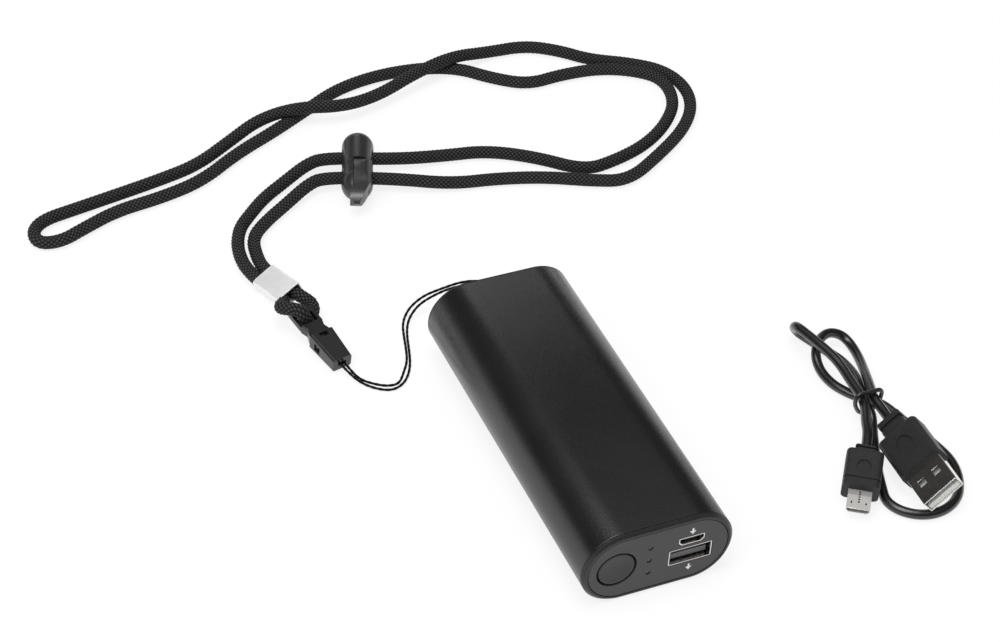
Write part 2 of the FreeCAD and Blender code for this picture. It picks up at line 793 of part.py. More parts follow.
def board_screws():
    """Two pan-head screws that hold the board on the cradle's arms."""
    screws = []
    for x, y in screw_places():
        shank = rod((x, y, board_top - screw_length), (0, 0, 1), screw_radius, screw_length)
        head = rod((x, y, board_top), (0, 0, 1), screw_head_radius, screw_head_height)
        head_middle = board_top + screw_head_height / 2
        rim = [edge for edge in head.Edges if edge.BoundBox.ZMin > head_middle]
        head = head.makeFillet(screw_head_height / 2, rim)
        screws.append(shank.fuse(head).removeSplitter())
    return screws


# Sockets

def large_port_shell():
    """The large socket's folded shell, open at the mouth."""
    x, z = large_port_center()
    low, high = front + port_setback, front + port_setback + large_port_depth
    half_width, half_height = large_port_width / 2, large_port_height / 2
    outside = prism(half_width, half_height, large_port_corner, low, high, x, z)
    inside = prism(half_width - large_port_wall, half_height - large_port_wall,
                   large_port_corner - large_port_wall, low - cut_overrun, high - large_port_wall, x, z)
    return outside.cut(inside)


def large_port_tongue():
    """The insulator: a block at the back of the shell and a tongue in its lower half."""
    x, z = large_port_center()
    low, high = front + port_setback, front + port_setback + large_port_depth - large_port_wall
    half_width, half_height = large_port_width / 2 - large_port_wall, large_port_height / 2 - large_port_wall
    back = prism(half_width - pin_clearance, half_height - pin_clearance,
                 large_port_corner - large_port_wall, high - large_block_depth, high, x, z)
    tongue = block(x - large_tongue_width / 2, x + large_tongue_width / 2, low + large_tongue_setback,
                   high - large_block_depth, z - large_tongue_drop - large_tongue_thickness / 2,
                   z - large_tongue_drop + large_tongue_thickness / 2)
    return back.fuse(tongue).removeSplitter()


def large_port_contacts():
    x, z = large_port_center()
    low = front + port_setback + 2 * large_tongue_setback
    high = front + port_setback + large_port_depth - large_port_wall - large_block_depth
    level = z - large_tongue_drop + large_tongue_thickness / 2
    contacts = []
    for index in range(large_contact_count):
        place = x + (index - (large_contact_count - 1) / 2) * large_contact_pitch
        contacts.append(block(place - large_contact_width / 2, place + large_contact_width / 2, low, high,
                              level, level + contact_thickness))
    return contacts


def small_port_shell():
    low, high = front + port_setback, front + port_setback + small_port_depth
    inside = small_port_bar(small_port_wall, low - cut_overrun, high - small_port_wall)
    return small_port_bar(0, low, high).cut(inside)


def small_port_tongue():
    x, z = small_port_center()
    low, high = front + port_setback, front + port_setback + small_port_depth - small_port_wall
    back = small_port_bar(small_port_wall + pin_clearance, high - small_block_depth, high)
    tongue = block(x - small_tongue_width / 2, x + small_tongue_width / 2, low + small_tongue_setback,
                   high - small_block_depth, z - small_tongue_thickness / 2, z + small_tongue_thickness / 2)
    return back.fuse(tongue).removeSplitter()


def small_port_contacts():
    x, z = small_port_center()
    low = front + port_setback + 2 * small_tongue_setback
    high = front + port_setback + small_port_depth - small_port_wall - small_block_depth
    level = z - small_tongue_thickness / 2
    contacts = []
    for index in range(small_contact_count):
        place = x + (index - (small_contact_count - 1) / 2) * small_contact_pitch
        contacts.append(block(place - small_contact_width / 2, place + small_contact_width / 2, low, high,
                              level - contact_thickness, level))
    return contacts


# Cells, cradle and heaters

def cell(side):
    """A round cell with its crimp groove and raised positive cap at the port end."""
    groove = cells_front + cell_groove_place
    neck = cell_radius - cell_groove_depth
    half = cell_groove_half_width
    crown = cells_front + cell_crown_height
    profile = [
        (0, cells_front), (cell_crown_radius, cells_front), (cell_crown_radius, crown),
        (cell_radius - cell_edge_round, crown), (cell_radius, crown + cell_edge_round),
        (cell_radius, groove - half), (neck, groove),
        (cell_radius, groove + half), (cell_radius, cells_rear - cell_edge_round),
        (cell_radius - cell_edge_round, cells_rear), (0, cells_rear),
    ]
    outline = polygon_face([(radius, y, 0) for radius, y in profile])
    solid = outline.revolve(Vector(0, 0, 0), Vector(0, 1, 0), 360)
    solid.translate(Vector(side * cell_offset, 0, middle))
    return solid


def cell_tab(y_low, side):
    """A nickel strip across both cell ends with an ear on the side of its lead."""
    reach = cell_offset + cell_crown_radius / 2
    strip = block(-reach, reach, y_low, y_low + tab_thickness,
                  middle - tab_half_height, middle + tab_half_height)
    place = side * battery_lead_side
    ear = block(place - tab_ear_half_width, place + tab_ear_half_width, y_low, y_low + tab_thickness,
                middle, lead_level() + battery_lead_radius)
    return strip.fuse(ear).removeSplitter()


def lead_level():
    return middle + cradle_half_height + battery_lead_radius + running_clearance


def cell_cradle():
    """A frame that holds both cells between end walls and carries the main board on two arms."""
    inset = casing_wall + cradle_clearance
    frame = stadium(inset, cradle_front, cradle_rear)
    slab = block(-body_width, body_width, cradle_front - cut_overrun, cradle_rear + cut_overrun,
                 middle - cradle_half_height, middle + cradle_half_height)
    frame = frame.common(slab)
    for side in (-1, 1):
        frame = frame.cut(rod((side * cell_offset, cells_front - tab_thickness, middle), (0, 1, 0),
                              cell_radius + cradle_bore_clearance, cell_length + 2 * tab_thickness))
    tab_room = cell_offset + cell_crown_radius / 2 + slip_clearance
    for y_low in (cells_front - tab_thickness, cells_rear):
        frame = frame.cut(block(-tab_room, tab_room, y_low, y_low + tab_thickness,
                                middle - tab_half_height - slip_clearance, middle + body_height))
    arm_outer = board_half_width + rail_depth
    for side in (-1, 1):
        edges = sorted([side * cradle_arm_inner, side * arm_outer])
        arm = block(edges[0], edges[1], cradle_front - cradle_arm_reach, cradle_front,
                    board_under - cradle_arm_depth, board_under)
        frame = frame.fuse(arm.common(stadium(inset, cradle_front - cradle_arm_reach, cradle_front)))
    groove_half = rail_height / 2 + cradle_clearance
    groove_edge = body_width / 2 - casing_wall - rail_depth - cradle_clearance
    for side in (-1, 1):
        edges = sorted([side * groove_edge, side * body_width])
        frame = frame.cut(block(edges[0], edges[1], cradle_front - cradle_arm_reach - cut_overrun,
                                cradle_rear + cut_overrun, middle - groove_half, middle + groove_half))
    for x, y in screw_places():
        frame = frame.cut(rod((x, y, board_top - screw_length - slip_clearance), (0, 0, 1),
                              screw_radius + running_clearance, screw_length))
    return frame.removeSplitter()


def end_foam():
    """The foam block that keeps the cradle tight against the rear cap."""
    return block(-foam_half_width, foam_half_width, cradle_rear, rear - pocket_depth - pocket_wall,
                 middle - foam_half_height, middle + foam_half_height)


def heater_film(level, direction):
    ends = sorted([level, level - direction * heater_thickness])
    half = heater_width / 2
    return block(-half, half, front + heater_front_gap, rear - heater_rear_gap, ends[0], ends[1])


def insulating_pad(level, direction):
    start = level - direction * heater_thickness
    ends = sorted([start, start - direction * pad_thickness])
    return block(-heater_width / 2, heater_width / 2, cells_front, cells_rear, ends[0], ends[1])


def heat_sensor():
    """A small sensor glued under the upper heater film."""
    level = film_top - heater_thickness - sensor_size[2]
    return centred_block((sensor_across, board_step + sensor_row, level), sensor_size)


def s_lead(x, row, radius, start, end):
    """A short lead between two levels that sways aside on its way."""
    y = board_step + row
    bend = lead_bend if end > start else -lead_bend
    route = [(x, y, start), (x, y, start + bend), (x, y + lead_sway, end - bend), (x, y + lead_sway, end)]
    path, radii = route_path(route)
    ring = Part.Wire(Part.Circle(Vector(*route[0]), Vector(0, 0, bend), radius).toShape())
    return path.makePipeShell([ring], True, False)


def battery_lead(side, start):
    """A lead that runs along the valley between the cells and turns down to the board."""
    x, level = side * battery_lead_side, lead_level()
    landing = board_rear - cradle_wall
    route = [(x, start, level), (x, landing, level), (x, landing, board_top)]
    path, radii = route_path(route)
    ring = Part.Wire(Part.Circle(Vector(*route[0]), Vector(0, -1, 0), battery_lead_radius).toShape())
    return path.makePipeShell([ring], True, False)


# Buckle

def buckle_plate(outline, half_thickness):
    """A flat plate of an outline in the local XY plane."""
    plate = polygon_face([(x, y, -half_thickness) for x, y in outline])
    return plate.extrude(Vector(0, 0, 2 * half_thickness))


def buckle_insert():
    """The cord end: a bar over a slot, a waisted shoulder and the tongue that enters the socket."""
    half, waist = buckle_half_width, buckle_waist_half_width
    side = [(-buckle_bar_back, half), (buckle_slot_end, half),
            (buckle_waist_place, waist), (buckle_shoulder, half)]
    outline = side + [(x, -y) for x, y in reversed(side)]
    thin = buckle_plate(outline, buckle_bar_half_thickness)
    thick_part = block(buckle_slot_end + buckle_edge_round, buckle_shoulder, -half, half,
                       -buckle_shoulder_half_thickness, buckle_shoulder_half_thickness)
    thick = buckle_plate(outline, buckle_shoulder_half_thickness).common(thick_part)
    long_edges = [edge for edge in thick.Edges if edge.BoundBox.ZLength < pin_clearance
                  and edge.BoundBox.XLength > pin_clearance]
    thick = thick.makeFillet(buckle_edge_round, long_edges)
    slot = block(buckle_bar_front, buckle_slot_end, -buckle_slot_half_width, buckle_slot_half_width,
                 -buckle_half_width, buckle_half_width)
    uprights = [edge for edge in slot.Edges if edge.BoundBox.ZLength > buckle_half_width]
    slot = slot.makeFillet(buckle_slot_corner, uprights)
    tongue = block(buckle_shoulder, buckle_tongue_end, -buckle_tongue_half_width, buckle_tongue_half_width,
                   -buckle_tongue_half_thickness, buckle_tongue_half_thickness)
    ends = [edge for edge in tongue.Edges if edge.BoundBox.XMin > buckle_tongue_end - pin_clearance]
    tongue = tongue.makeChamfer(buckle_edge_round, ends)
    return thin.cut(slot).fuse([thick, tongue]).removeSplitter()


def buckle_arms():
    """The two spring arms with barbs that catch in the socket's side windows."""
    arms = []
    share = (barb_start - buckle_shoulder) / (arm_end - buckle_shoulder)
    root = arm_root_outer + (arm_tip_outer - arm_root_outer) * share
    for side in (-1, 1):
        outline = [
            (buckle_shoulder, side * arm_root_inner), (buckle_shoulder, side * arm_root_outer),
            (barb_start, side * root), (barb_start, side * barb_reach), (barb_end, side * arm_tip_outer),
            (arm_end, side * arm_tip_outer), (arm_end, side * arm_tip_inner),
        ]
        arms.append(buckle_plate(outline, arm_half_thickness))
    return arms


def socket_width(x):
    """The socket's outer half width, which narrows evenly from its mouth to its end."""
    start = buckle_shoulder + buckle_mouth_gap
    share = (x - start) / (socket_end - start)
    return socket_mouth_half_width + (socket_end_half_width - socket_mouth_half_width) * share


def socket_section(x, half_width, half_height, corner):
    """A rounded section of the socket, square to its axis."""
    wire = rounded_face(half_width, half_height, corner).OuterWire
    wire.rotate(Vector(0, 0, 0), Vector(0, 0, 1), 90)
    wire.translate(Vector(x, 0, 0))
    return wire


def buckle_socket():
    """The string end: a tapered shell with side windows, mouth notches and a slot for the string."""
    start = buckle_shoulder + buckle_mouth_gap
    outside = Part.makeLoft([
        socket_section(start, socket_mouth_half_width, socket_mouth_half_height, socket_round),
        socket_section(socket_end, socket_end_half_width, socket_end_half_height, socket_round)], True, True)
    mouth_inside = socket_section(start, socket_width(start) - socket_wall,
                                  socket_mouth_half_height - socket_wall, socket_round / 2)
    floor_inside = socket_section(socket_floor, socket_width(socket_floor) - socket_wall,
                                  socket_end_half_height - socket_wall, socket_round / 2)
    inside = Part.makeLoft([mouth_inside, floor_inside], True, True)
    window_reach = socket_mouth_half_width + cut_overrun
    windows = block(barb_start - socket_window_gap, barb_end + socket_window_gap,
                    -window_reach, window_reach, -socket_window_half_height, socket_window_half_height)
    notch_reach = socket_mouth_half_height + cut_overrun
    notch = block(start - cut_overrun, start + socket_notch_depth,
                  -socket_notch_half_width, socket_notch_half_width, -notch_reach, notch_reach)
    slot = block(socket_floor - cut_overrun, socket_end + cut_overrun,
                 -string_slot_half_width, string_slot_half_width,
                 -string_slot_half_height, string_slot_half_height)
    return outside.cut(inside).cut(windows).cut(notch).cut(slot)


def on_buckle(shape):
    return placed(shape, buckle_place, buckle_heading, buckle_pitch)


# Clamp and cord lock

def cord_clamp():
    """A bright metal sleeve pressed round the two strands."""
    room_width = clamp_strand_offset + neck_cord_diameter / 2 + clamp_cord_room
    room_height = neck_cord_diameter / 2 + clamp_cord_room
    half = clamp_length / 2
    sleeve = prism(room_width + clamp_wall, room_height + clamp_wall, clamp_corner, -half, half)
    room = prism(room_width, room_height, clamp_corner - clamp_wall, -half - cut_overrun, half + cut_overrun)
    sleeve = sleeve.cut(room)
    sleeve.rotate(Vector(0, 0, 0), Vector(0, 0, 1), -90)
    return placed(sleeve, clamp_place, clamp_heading, clamp_pitch)


def lock_body():
    """A domed body with two flared cord holes and a room cut out of one side for the lever."""
    diagonal = lock_radius * math.sqrt(2) / 2
    end_round = lock_end - lock_shoulder
    points = [Vector(-lock_radius, 0, 0), Vector(0, 0, lock_radius),
              Vector(lock_shoulder, 0, lock_shoulder_radius),
              Vector(lock_end, 0, lock_end_radius), Vector(lock_end, 0, 0)]
    bend = Vector(lock_shoulder + end_round * math.sqrt(2) / 2, 0,
                  lock_end_radius + (lock_shoulder_radius - lock_end_radius) * math.sqrt(2) / 2)
    edges = [
        Part.Arc(points[0], Vector(-diagonal, 0, diagonal), points[1]).toShape(),
        Part.LineSegment(points[1], points[2]).toShape(),
        Part.Arc(points[2], bend, points[3]).toShape(),
        Part.LineSegment(points[3], points[4]).toShape(),
        Part.LineSegment(points[4], points[0]).toShape(),
    ]
    body = Part.Face(Part.Wire(edges)).revolve(Vector(0, 0, 0), Vector(1, 0, 0), 360)
    underside = block(-body_length, body_length, -body_length, body_length, -body_length, -lock_flat)
    body = body.cut(underside)
    hole_radius = neck_cord_diameter / 2 + lock_hole_clearance
    for x in lock_holes:
        body = body.cut(rod((x, -lock_radius - cut_overrun, -lock_hole_drop), (0, 1, 0), hole_radius,
                            2 * (lock_radius + cut_overrun)))
        for side in (-1, 1):
            mouth = Vector(x, side * lock_radius, -lock_hole_drop)
            flare = Part.makeCone(hole_radius + lock_hole_flare, hole_radius, 2 * lock_hole_flare, mouth,
                                  Vector(0, -side, 0))
            body = body.cut(flare)
    room = block(lock_pivot - lever_heel_radius - lever_gap, lock_end + cut_overrun, lever_edge - lever_gap,
                 lock_radius + cut_overrun, lever_channel_floor, lock_radius + cut_overrun)
    body = body.cut(room)
    start = (lock_pivot, lock_pin_start, lock_pivot_rise)
    length = lock_pin_end - lock_pin_start
    return body.cut(rod(start, (0, 1, 0), lock_pin_radius + pin_clearance, length))


def lock_pin():
    """The pin that the body's cheek holds and the lever turns on."""
    start = (lock_pivot, lock_pin_start, lock_pivot_rise)
    return rod(start, (0, 1, 0), lock_pin_radius, lock_pin_end - lock_pin_start)


def lever_plan():
    """The lever seen from above: straight in its room, wider past the body's end and narrow at the tip."""
    start = lock_pivot - lever_heel_radius - cut_overrun
    hook_start = lock_end + lever_gap
    return [
        (start, lever_edge), (hook_start, lever_edge), (hook_start + lever_hook_room, lever_hook_edge),
        (lever_tip - lever_hook_room, lever_hook_edge), (lever_tip, lever_tip_edge),
        (lever_tip, lever_tip_side), (lever_nose_place, lever_hook_side),
        (lever_shoulder_place, lever_shoulder_side), (start, lever_side),
    ]


def lock_lever():
    """A lever with a round heel on the pin, a finger bump and a hooked nose past the body's end."""
    low = lever_channel_floor + lever_gap
    heel_back = Vector(lock_pivot - lever_heel_radius, 0, lock_pivot_rise)
    heel_top = Vector(lock_pivot, 0, lock_pivot_rise + lever_heel_radius)
    heel_low = Vector(lock_pivot, 0, lock_pivot_rise - lever_heel_radius)
    bump = Vector(lever_bump_place, 0, lever_bump_top)
    dip = Vector(lever_dip_place, 0, lever_dip_top)
    nose = Vector(lever_nose_place, 0, lever_nose_top)
    tip = Vector(lever_tip, 0, lever_tip_height)
    chin = Vector(lever_chin_place, 0, lever_chin_height)
    corner = Vector(lever_chin_start, 0, lever_chin_height)
    notch = Vector(lever_chin_start, 0, low)
    top = Part.BSplineCurve()
    top.interpolate([heel_top, bump, dip, nose, tip])
    edges = [
        Part.Arc(heel_low, heel_back, heel_top).toShape(),
        top.toShape(),
        Part.LineSegment(tip, chin).toShape(),
        Part.LineSegment(chin, corner).toShape(),
        Part.LineSegment(corner, notch).toShape(),
        Part.LineSegment(notch, heel_low).toShape(),
    ]
    lever = Part.Face(Part.Wire(edges)).extrude(Vector(0, lever_side - lever_hook_edge, 0))
    lever.translate(Vector(0, lever_hook_edge, 0))
    plan = polygon_face([(x, y, -lock_radius) for x, y in lever_plan()])
    lever = lever.common(plan.extrude(Vector(0, 0, 2 * lock_radius + lock_flat)))
    lever = lever.common(rod((0, 0, 0), (1, 0, 0), lever_round, lever_tip + cut_overrun))
    start = (lock_pivot, lever_edge - cut_overrun, lock_pivot_rise)
    length = lock_pin_end - lever_edge + cut_overrun + running_clearance
    return lever.cut(rod(start, (0, 1, 0), lock_pin_radius + running_clearance, length))


def on_lock(shape):
    return placed(shape, lock_place, lock_heading)


# Charging lead

def plug_bar(half_width, half_height, corner, x_low, x_high):
    """A rounded-rectangle bar along the plug's own X axis."""
    bar = prism(half_width, half_height, corner, x_low, x_high)
    bar.rotate(Vector(0, 0, 0), Vector(0, 0, 1), -90)
    return bar


def plug_grip(width, height, length, corner, rear_round, oval_length, oval_width):
    """A moulded grip with a rounded rear and a bare oval thumb recess."""
    body = plug_bar(width / 2, height / 2, corner, -length, 0)
    rear_edges = [edge for edge in body.Edges if edge.BoundBox.XMax < -length + pin_clearance]
    body = body.makeFillet(rear_round, rear_edges)
    oval_centre = Vector(-length / 2, 0, height / 2 - grip_oval_depth)
    oval = Part.Ellipse(oval_centre, oval_length / 2, oval_width / 2)
    recess = Part.Face(Part.Wire(oval.toShape())).extrude(Vector(0, 0, grip_oval_depth + cut_overrun))
    return body.cut(recess)


def plug_relief(half_width, half_height, start, end):
    """A flat neck with one groove, which lets the cable bend where it enters the grip."""
    neck = plug_bar(half_width, half_height, relief_round, start, end)
    low, high = [start + (end - start) * share for share in relief_groove_shares]
    ring = plug_bar(half_width + cut_overrun, half_height + cut_overrun, relief_round, low, high)
    core = plug_bar(half_width - relief_groove_depth, half_height - relief_groove_depth,
                    relief_groove_round, start, end)
    return neck.cut(ring.cut(core))


def large_plug_shell():
    """The rectangular metal shell with two square windows on its upper side."""
    half_width, half_height = plug_shell_width / 2, plug_shell_height / 2
    corner = plug_shell_wall
    outside = plug_bar(half_width, half_height, corner, -plug_shell_sink, plug_shell_length)
    inside = plug_bar(half_width - plug_shell_wall, half_height - plug_shell_wall, corner / 2,
                      -plug_shell_sink - cut_overrun, plug_shell_length + cut_overrun)
    shell = outside.cut(inside)
    half = plug_window_side / 2
    for side in (-1, 1):
        y = side * plug_window_spread
        shell = shell.cut(block(plug_window_place - half, plug_window_place + half, y - half, y + half,
                                0, half_height + cut_overrun))
    return shell


def large_plug_core():
    """The insulator that fills the lower half of the shell."""
    half_width = plug_shell_width / 2 - plug_shell_wall - plug_core_width_gap
    low = -plug_shell_height / 2 + plug_shell_wall
    return block(-plug_shell_sink, plug_shell_length - plug_core_setback, -half_width, half_width,
                 low, low + plug_core_height)


def large_plug_grip():
    grip = plug_grip(large_grip_width, large_grip_height, large_grip_length, large_grip_round,
                     large_grip_rear_round, grip_oval_length, grip_oval_width)
    relief = plug_relief(large_relief_half_width, large_relief_half_height,
                         -large_grip_length - large_relief_length, -large_grip_length)
    seat = plug_bar(plug_shell_width / 2, plug_shell_height / 2, plug_shell_wall,
                    -plug_shell_sink, cut_overrun)
    return grip.fuse(relief).removeSplitter().cut(seat)


def on_large_plug(shape):
    return placed(shape, large_plug_place, large_plug_heading, large_plug_pitch, large_plug_roll)


def small_shell_bar(inset, x_low, x_high):
    """The small plug's outline: square upper corners and bevelled lower ones, drawn in by inset."""
    half_width, half_height = small_shell_width / 2 - inset, small_shell_height / 2 - inset
    bevel = small_shell_bevel
    outline = [(half_width, half_height), (-half_width, half_height),
               (-half_width, bevel - half_height), (bevel - half_width, -half_height),
               (half_width - bevel, -half_height), (half_width, bevel - half_height)]
    return polygon_face([(x_low, y, z) for y, z in outline]).extrude(Vector(x_high - x_low, 0, 0))


def small_plug_shell():
    inside = small_shell_bar(small_shell_wall, -small_shell_sink - cut_overrun,
                             small_shell_length + cut_overrun)
    return small_shell_bar(0, -small_shell_sink, small_shell_length).cut(inside)


def small_plug_core():
    half_width = small_shell_width / 2 - small_shell_wall - small_shell_bevel
    low = -small_shell_height / 2 + small_shell_wall
    return block(-small_shell_sink, small_shell_length - small_core_setback, -half_width, half_width,
                 low, low + small_core_height)


def small_plug_grip():
    grip = plug_grip(small_grip_width, small_grip_height, small_grip_length, small_grip_round,
                     small_grip_rear_round, small_oval_length, small_oval_width)
    relief = plug_relief(small_relief_half_width, small_relief_half_height,
                         -small_grip_length - small_relief_length, -small_grip_length)
    half_width, half_height = small_grip_width / 2, small_grip_height / 2
    ring = plug_bar(half_width + cut_overrun, half_height + cut_overrun, small_grip_round,
                    -small_lip_place - small_lip_groove, -small_lip_place)
    core = plug_bar(half_width - small_lip_groove, half_height - small_lip_groove,
                    small_grip_round - small_lip_groove,
                    -small_lip_place - small_lip_groove, -small_lip_place)
    grip = grip.fuse(relief).removeSplitter().cut(ring.cut(core))
    return grip.cut(small_shell_bar(0, -small_shell_sink, cut_overrun))


def on_small_plug(shape):
    return placed(shape, small_plug_place, small_plug_heading, small_plug_pitch)


def cable_tie():
    """A closed round band about three strands of the folded lead."""
    left, right = tie_across - tie_half_width, tie_across + tie_half_width
    low_left, low_right = tie_across - tie_low_half_width, tie_across + tie_low_half_width
    outline = [(left, tie_top), (right, tie_top), (right, tie_shoulder),
               (low_right, tie_bottom), (low_left, tie_bottom), (left, tie_shoulder)]
    corners = [Vector(x, tie_along, z) for x, z in outline]
    edges, ends = [], []
    for index, corner in enumerate(corners):
        back = corners[index - 1] - corner
        ahead = corners[(index + 1) % len(corners)] - corner
        half_turn = (math.pi - back.getAngle(ahead)) / 2
        cut = run_share * min(back.Length, ahead.Length)
        radius = cut / math.tan(half_turn)
        back.normalize()
        ahead.normalize()
        inward = (back + ahead).normalize()
        peak = corner + inward * (radius / math.cos(half_turn) - radius)
        ends.append((corner + back * cut, peak, corner + ahead * cut))
    for index, (first, peak, last) in enumerate(ends):
        edges.append(Part.Arc(first, peak, last).toShape())
        edges.append(Part.LineSegment(last, ends[(index + 1) % len(ends)][0]).toShape())
    path = Part.Wire(edges)
    start, peak, last = ends[0]
    ring = Part.Wire(Part.Circle(start, corners[0] - start, cable_tie_diameter / 2).toShape())
    return path.makePipeShell([ring], True, False)


save("casing_tube", casing_tube())
save("front_cap", front_cap())
save("front_plate", front_plate())
save("rear_cap", rear_cap())
save("lanyard_pin", lanyard_pin())
save("power_button", power_button())
save("switch_plunger", switch_plunger())
save("switch_base", switch_base())
save("light_guide", light_guide())
save("status_lamps", *status_lamps())
save("button_board", button_board())
save("main_board", main_board())
save("power_coil", power_coil())
save("control_chip", centred_block(on_board(chip_across_share, chip_row), chip_size))
save("power_transistors", *[centred_block(on_board(transistor_across_share, row), transistor_size)
                            for row in transistor_rows])
save("board_capacitors", *[centred_block(on_board(share, capacitor_row), capacitor_size)
                           for share in capacitor_across_shares])
save("board_screws", *board_screws())
save("large_port_shell", large_port_shell())
save("large_port_tongue", large_port_tongue())
save("large_port_contacts", *large_port_contacts())
save("small_port_shell", small_port_shell())
save("small_port_tongue", small_port_tongue())
save("small_port_contacts", *small_port_contacts())
save("cell_left", cell(-1))
save("cell_right", cell(1))
save("cell_tab_front", cell_tab(cells_front - tab_thickness, -1))
save("cell_tab_rear", cell_tab(cells_rear, 1))
save("cell_cradle", cell_cradle())
save("end_foam", end_foam())
save("heater_film_upper", heater_film(film_top, 1))
save("heater_film_lower", heater_film(film_low, -1))
save("insulating_pad_upper", insulating_pad(film_top, 1))
save("insulating_pad_lower", insulating_pad(film_low, -1))
save("heat_sensor", heat_sensor())
save("heater_leads_upper", *[s_lead(heater_width * share, heater_lead_row, lead_radius,
                                    film_top - heater_thickness, board_top)
                             for share in heater_lead_across_shares])
save("heater_leads_lower", *[s_lead(-heater_width * share, heater_lead_low_row, lead_radius,
                                    film_low + heater_thickness, board_under)
                             for share in heater_lead_across_shares])
save("sensor_leads", *[s_lead(sensor_across + side * sensor_lead_spread, sensor_row, sensor_lead_radius,
                              film_top - heater_thickness - sensor_size[2], board_top) for side in (-1, 1)])
save("battery_lead_positive", battery_lead(-1, cells_front - tab_thickness))
save("battery_lead_negative", battery_lead(1, cells_rear))
save("lanyard_string", cord("lanyard_string", string_route, string_diameter))
save("buckle_socket", on_buckle(buckle_socket()))
save("buckle_insert", on_buckle(buckle_insert()))
save("buckle_arms", *[on_buckle(arm) for arm in buckle_arms()])
save("buckle_loop", cord("buckle_loop", buckle_loop_route, neck_cord_diameter))
save("cord_clamp", cord_clamp())
save("neck_cord", cord("neck_cord", neck_cord_route, neck_cord_diameter))
save("cord_lock_body", on_lock(lock_body()))
save("cord_lock_lever", on_lock(lock_lever()))
save("cord_lock_pin", on_lock(lock_pin()))
save("large_plug_shell", on_large_plug(large_plug_shell()))
save("large_plug_core", on_large_plug(large_plug_core()))
save("large_plug_grip", on_large_plug(large_plug_grip()))
save("small_plug_shell", on_small_plug(small_plug_shell()))
save("small_plug_core", on_small_plug(small_plug_core()))
save("small_plug_grip", on_small_plug(small_plug_grip()))
save("charge_cable", cord("charge_cable", charge_cable_route, charge_cable_diameter))
save("cable_tie", cable_tie())
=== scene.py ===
# %% [markdown]
# # A rechargeable hand warmer with its neck lanyard and charging lead
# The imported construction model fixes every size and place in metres. This lesson dresses it: smooth
# surfaces worked out with numpy stand for the pieces whose outline is seen most, and node materials give
# each piece its finish. We load the frame first, because every later step reads its boxes.

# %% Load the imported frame
import json
import math
import bmesh
import bpy
import numpy as np
from mathutils import Matrix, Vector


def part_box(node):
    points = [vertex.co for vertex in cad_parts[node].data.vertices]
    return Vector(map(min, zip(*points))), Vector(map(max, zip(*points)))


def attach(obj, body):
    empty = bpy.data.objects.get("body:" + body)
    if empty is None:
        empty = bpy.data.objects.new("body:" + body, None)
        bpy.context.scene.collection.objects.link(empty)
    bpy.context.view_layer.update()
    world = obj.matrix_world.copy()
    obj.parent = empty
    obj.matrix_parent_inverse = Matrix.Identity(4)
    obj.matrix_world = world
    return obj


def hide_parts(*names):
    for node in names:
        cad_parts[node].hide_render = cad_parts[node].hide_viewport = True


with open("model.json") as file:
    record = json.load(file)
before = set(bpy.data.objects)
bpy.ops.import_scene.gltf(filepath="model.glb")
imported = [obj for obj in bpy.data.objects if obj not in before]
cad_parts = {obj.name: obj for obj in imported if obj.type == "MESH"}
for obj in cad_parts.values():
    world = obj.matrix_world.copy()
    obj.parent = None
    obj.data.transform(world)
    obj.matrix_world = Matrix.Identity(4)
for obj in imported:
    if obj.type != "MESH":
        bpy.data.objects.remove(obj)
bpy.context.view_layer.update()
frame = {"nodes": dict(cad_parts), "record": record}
nodes = frame["nodes"]
MM = 0.001

# %% [markdown]
# ## Shader sums as plain Python
# A finish is a small network of nodes. Wiring it by hand hides the idea, so one class wraps a socket and
# turns + - * / into Math nodes, and another adds any other node from its type, its settings and its inputs.
# Colours go through Mix nodes, because a Math node would turn them grey. Noise, bump and coordinates are
# needed by nearly every finish, so they have short names.

# %% Signals and finishes
class Signal:
    """One output socket of a node. Operators on it add Math nodes to the same finish."""

    def __init__(self, finish, made, output):
        self.finish = finish
        self.made = made
        self.socket = made.outputs[output]

    def out(self, output):
        """Another output of the same node."""
        return Signal(self.finish, self.made, output)

    def __add__(self, other):
        return self.finish.sum("ADD", self, other)

    def __sub__(self, other):
        return self.finish.sum("SUBTRACT", self, other)

    def __rsub__(self, other):
        return self.finish.sum("SUBTRACT", other, self)

    def __mul__(self, other):
        return self.finish.sum("MULTIPLY", self, other)

    def __truediv__(self, other):
        return self.finish.sum("DIVIDE", self, other)

    def __rtruediv__(self, other):
        return self.finish.sum("DIVIDE", other, self)

    def __pow__(self, other):
        return self.finish.sum("POWER", self, other)

    def __abs__(self):
        return self.finish.sum("ABSOLUTE", self)

    __radd__ = __add__
    __rmul__ = __mul__


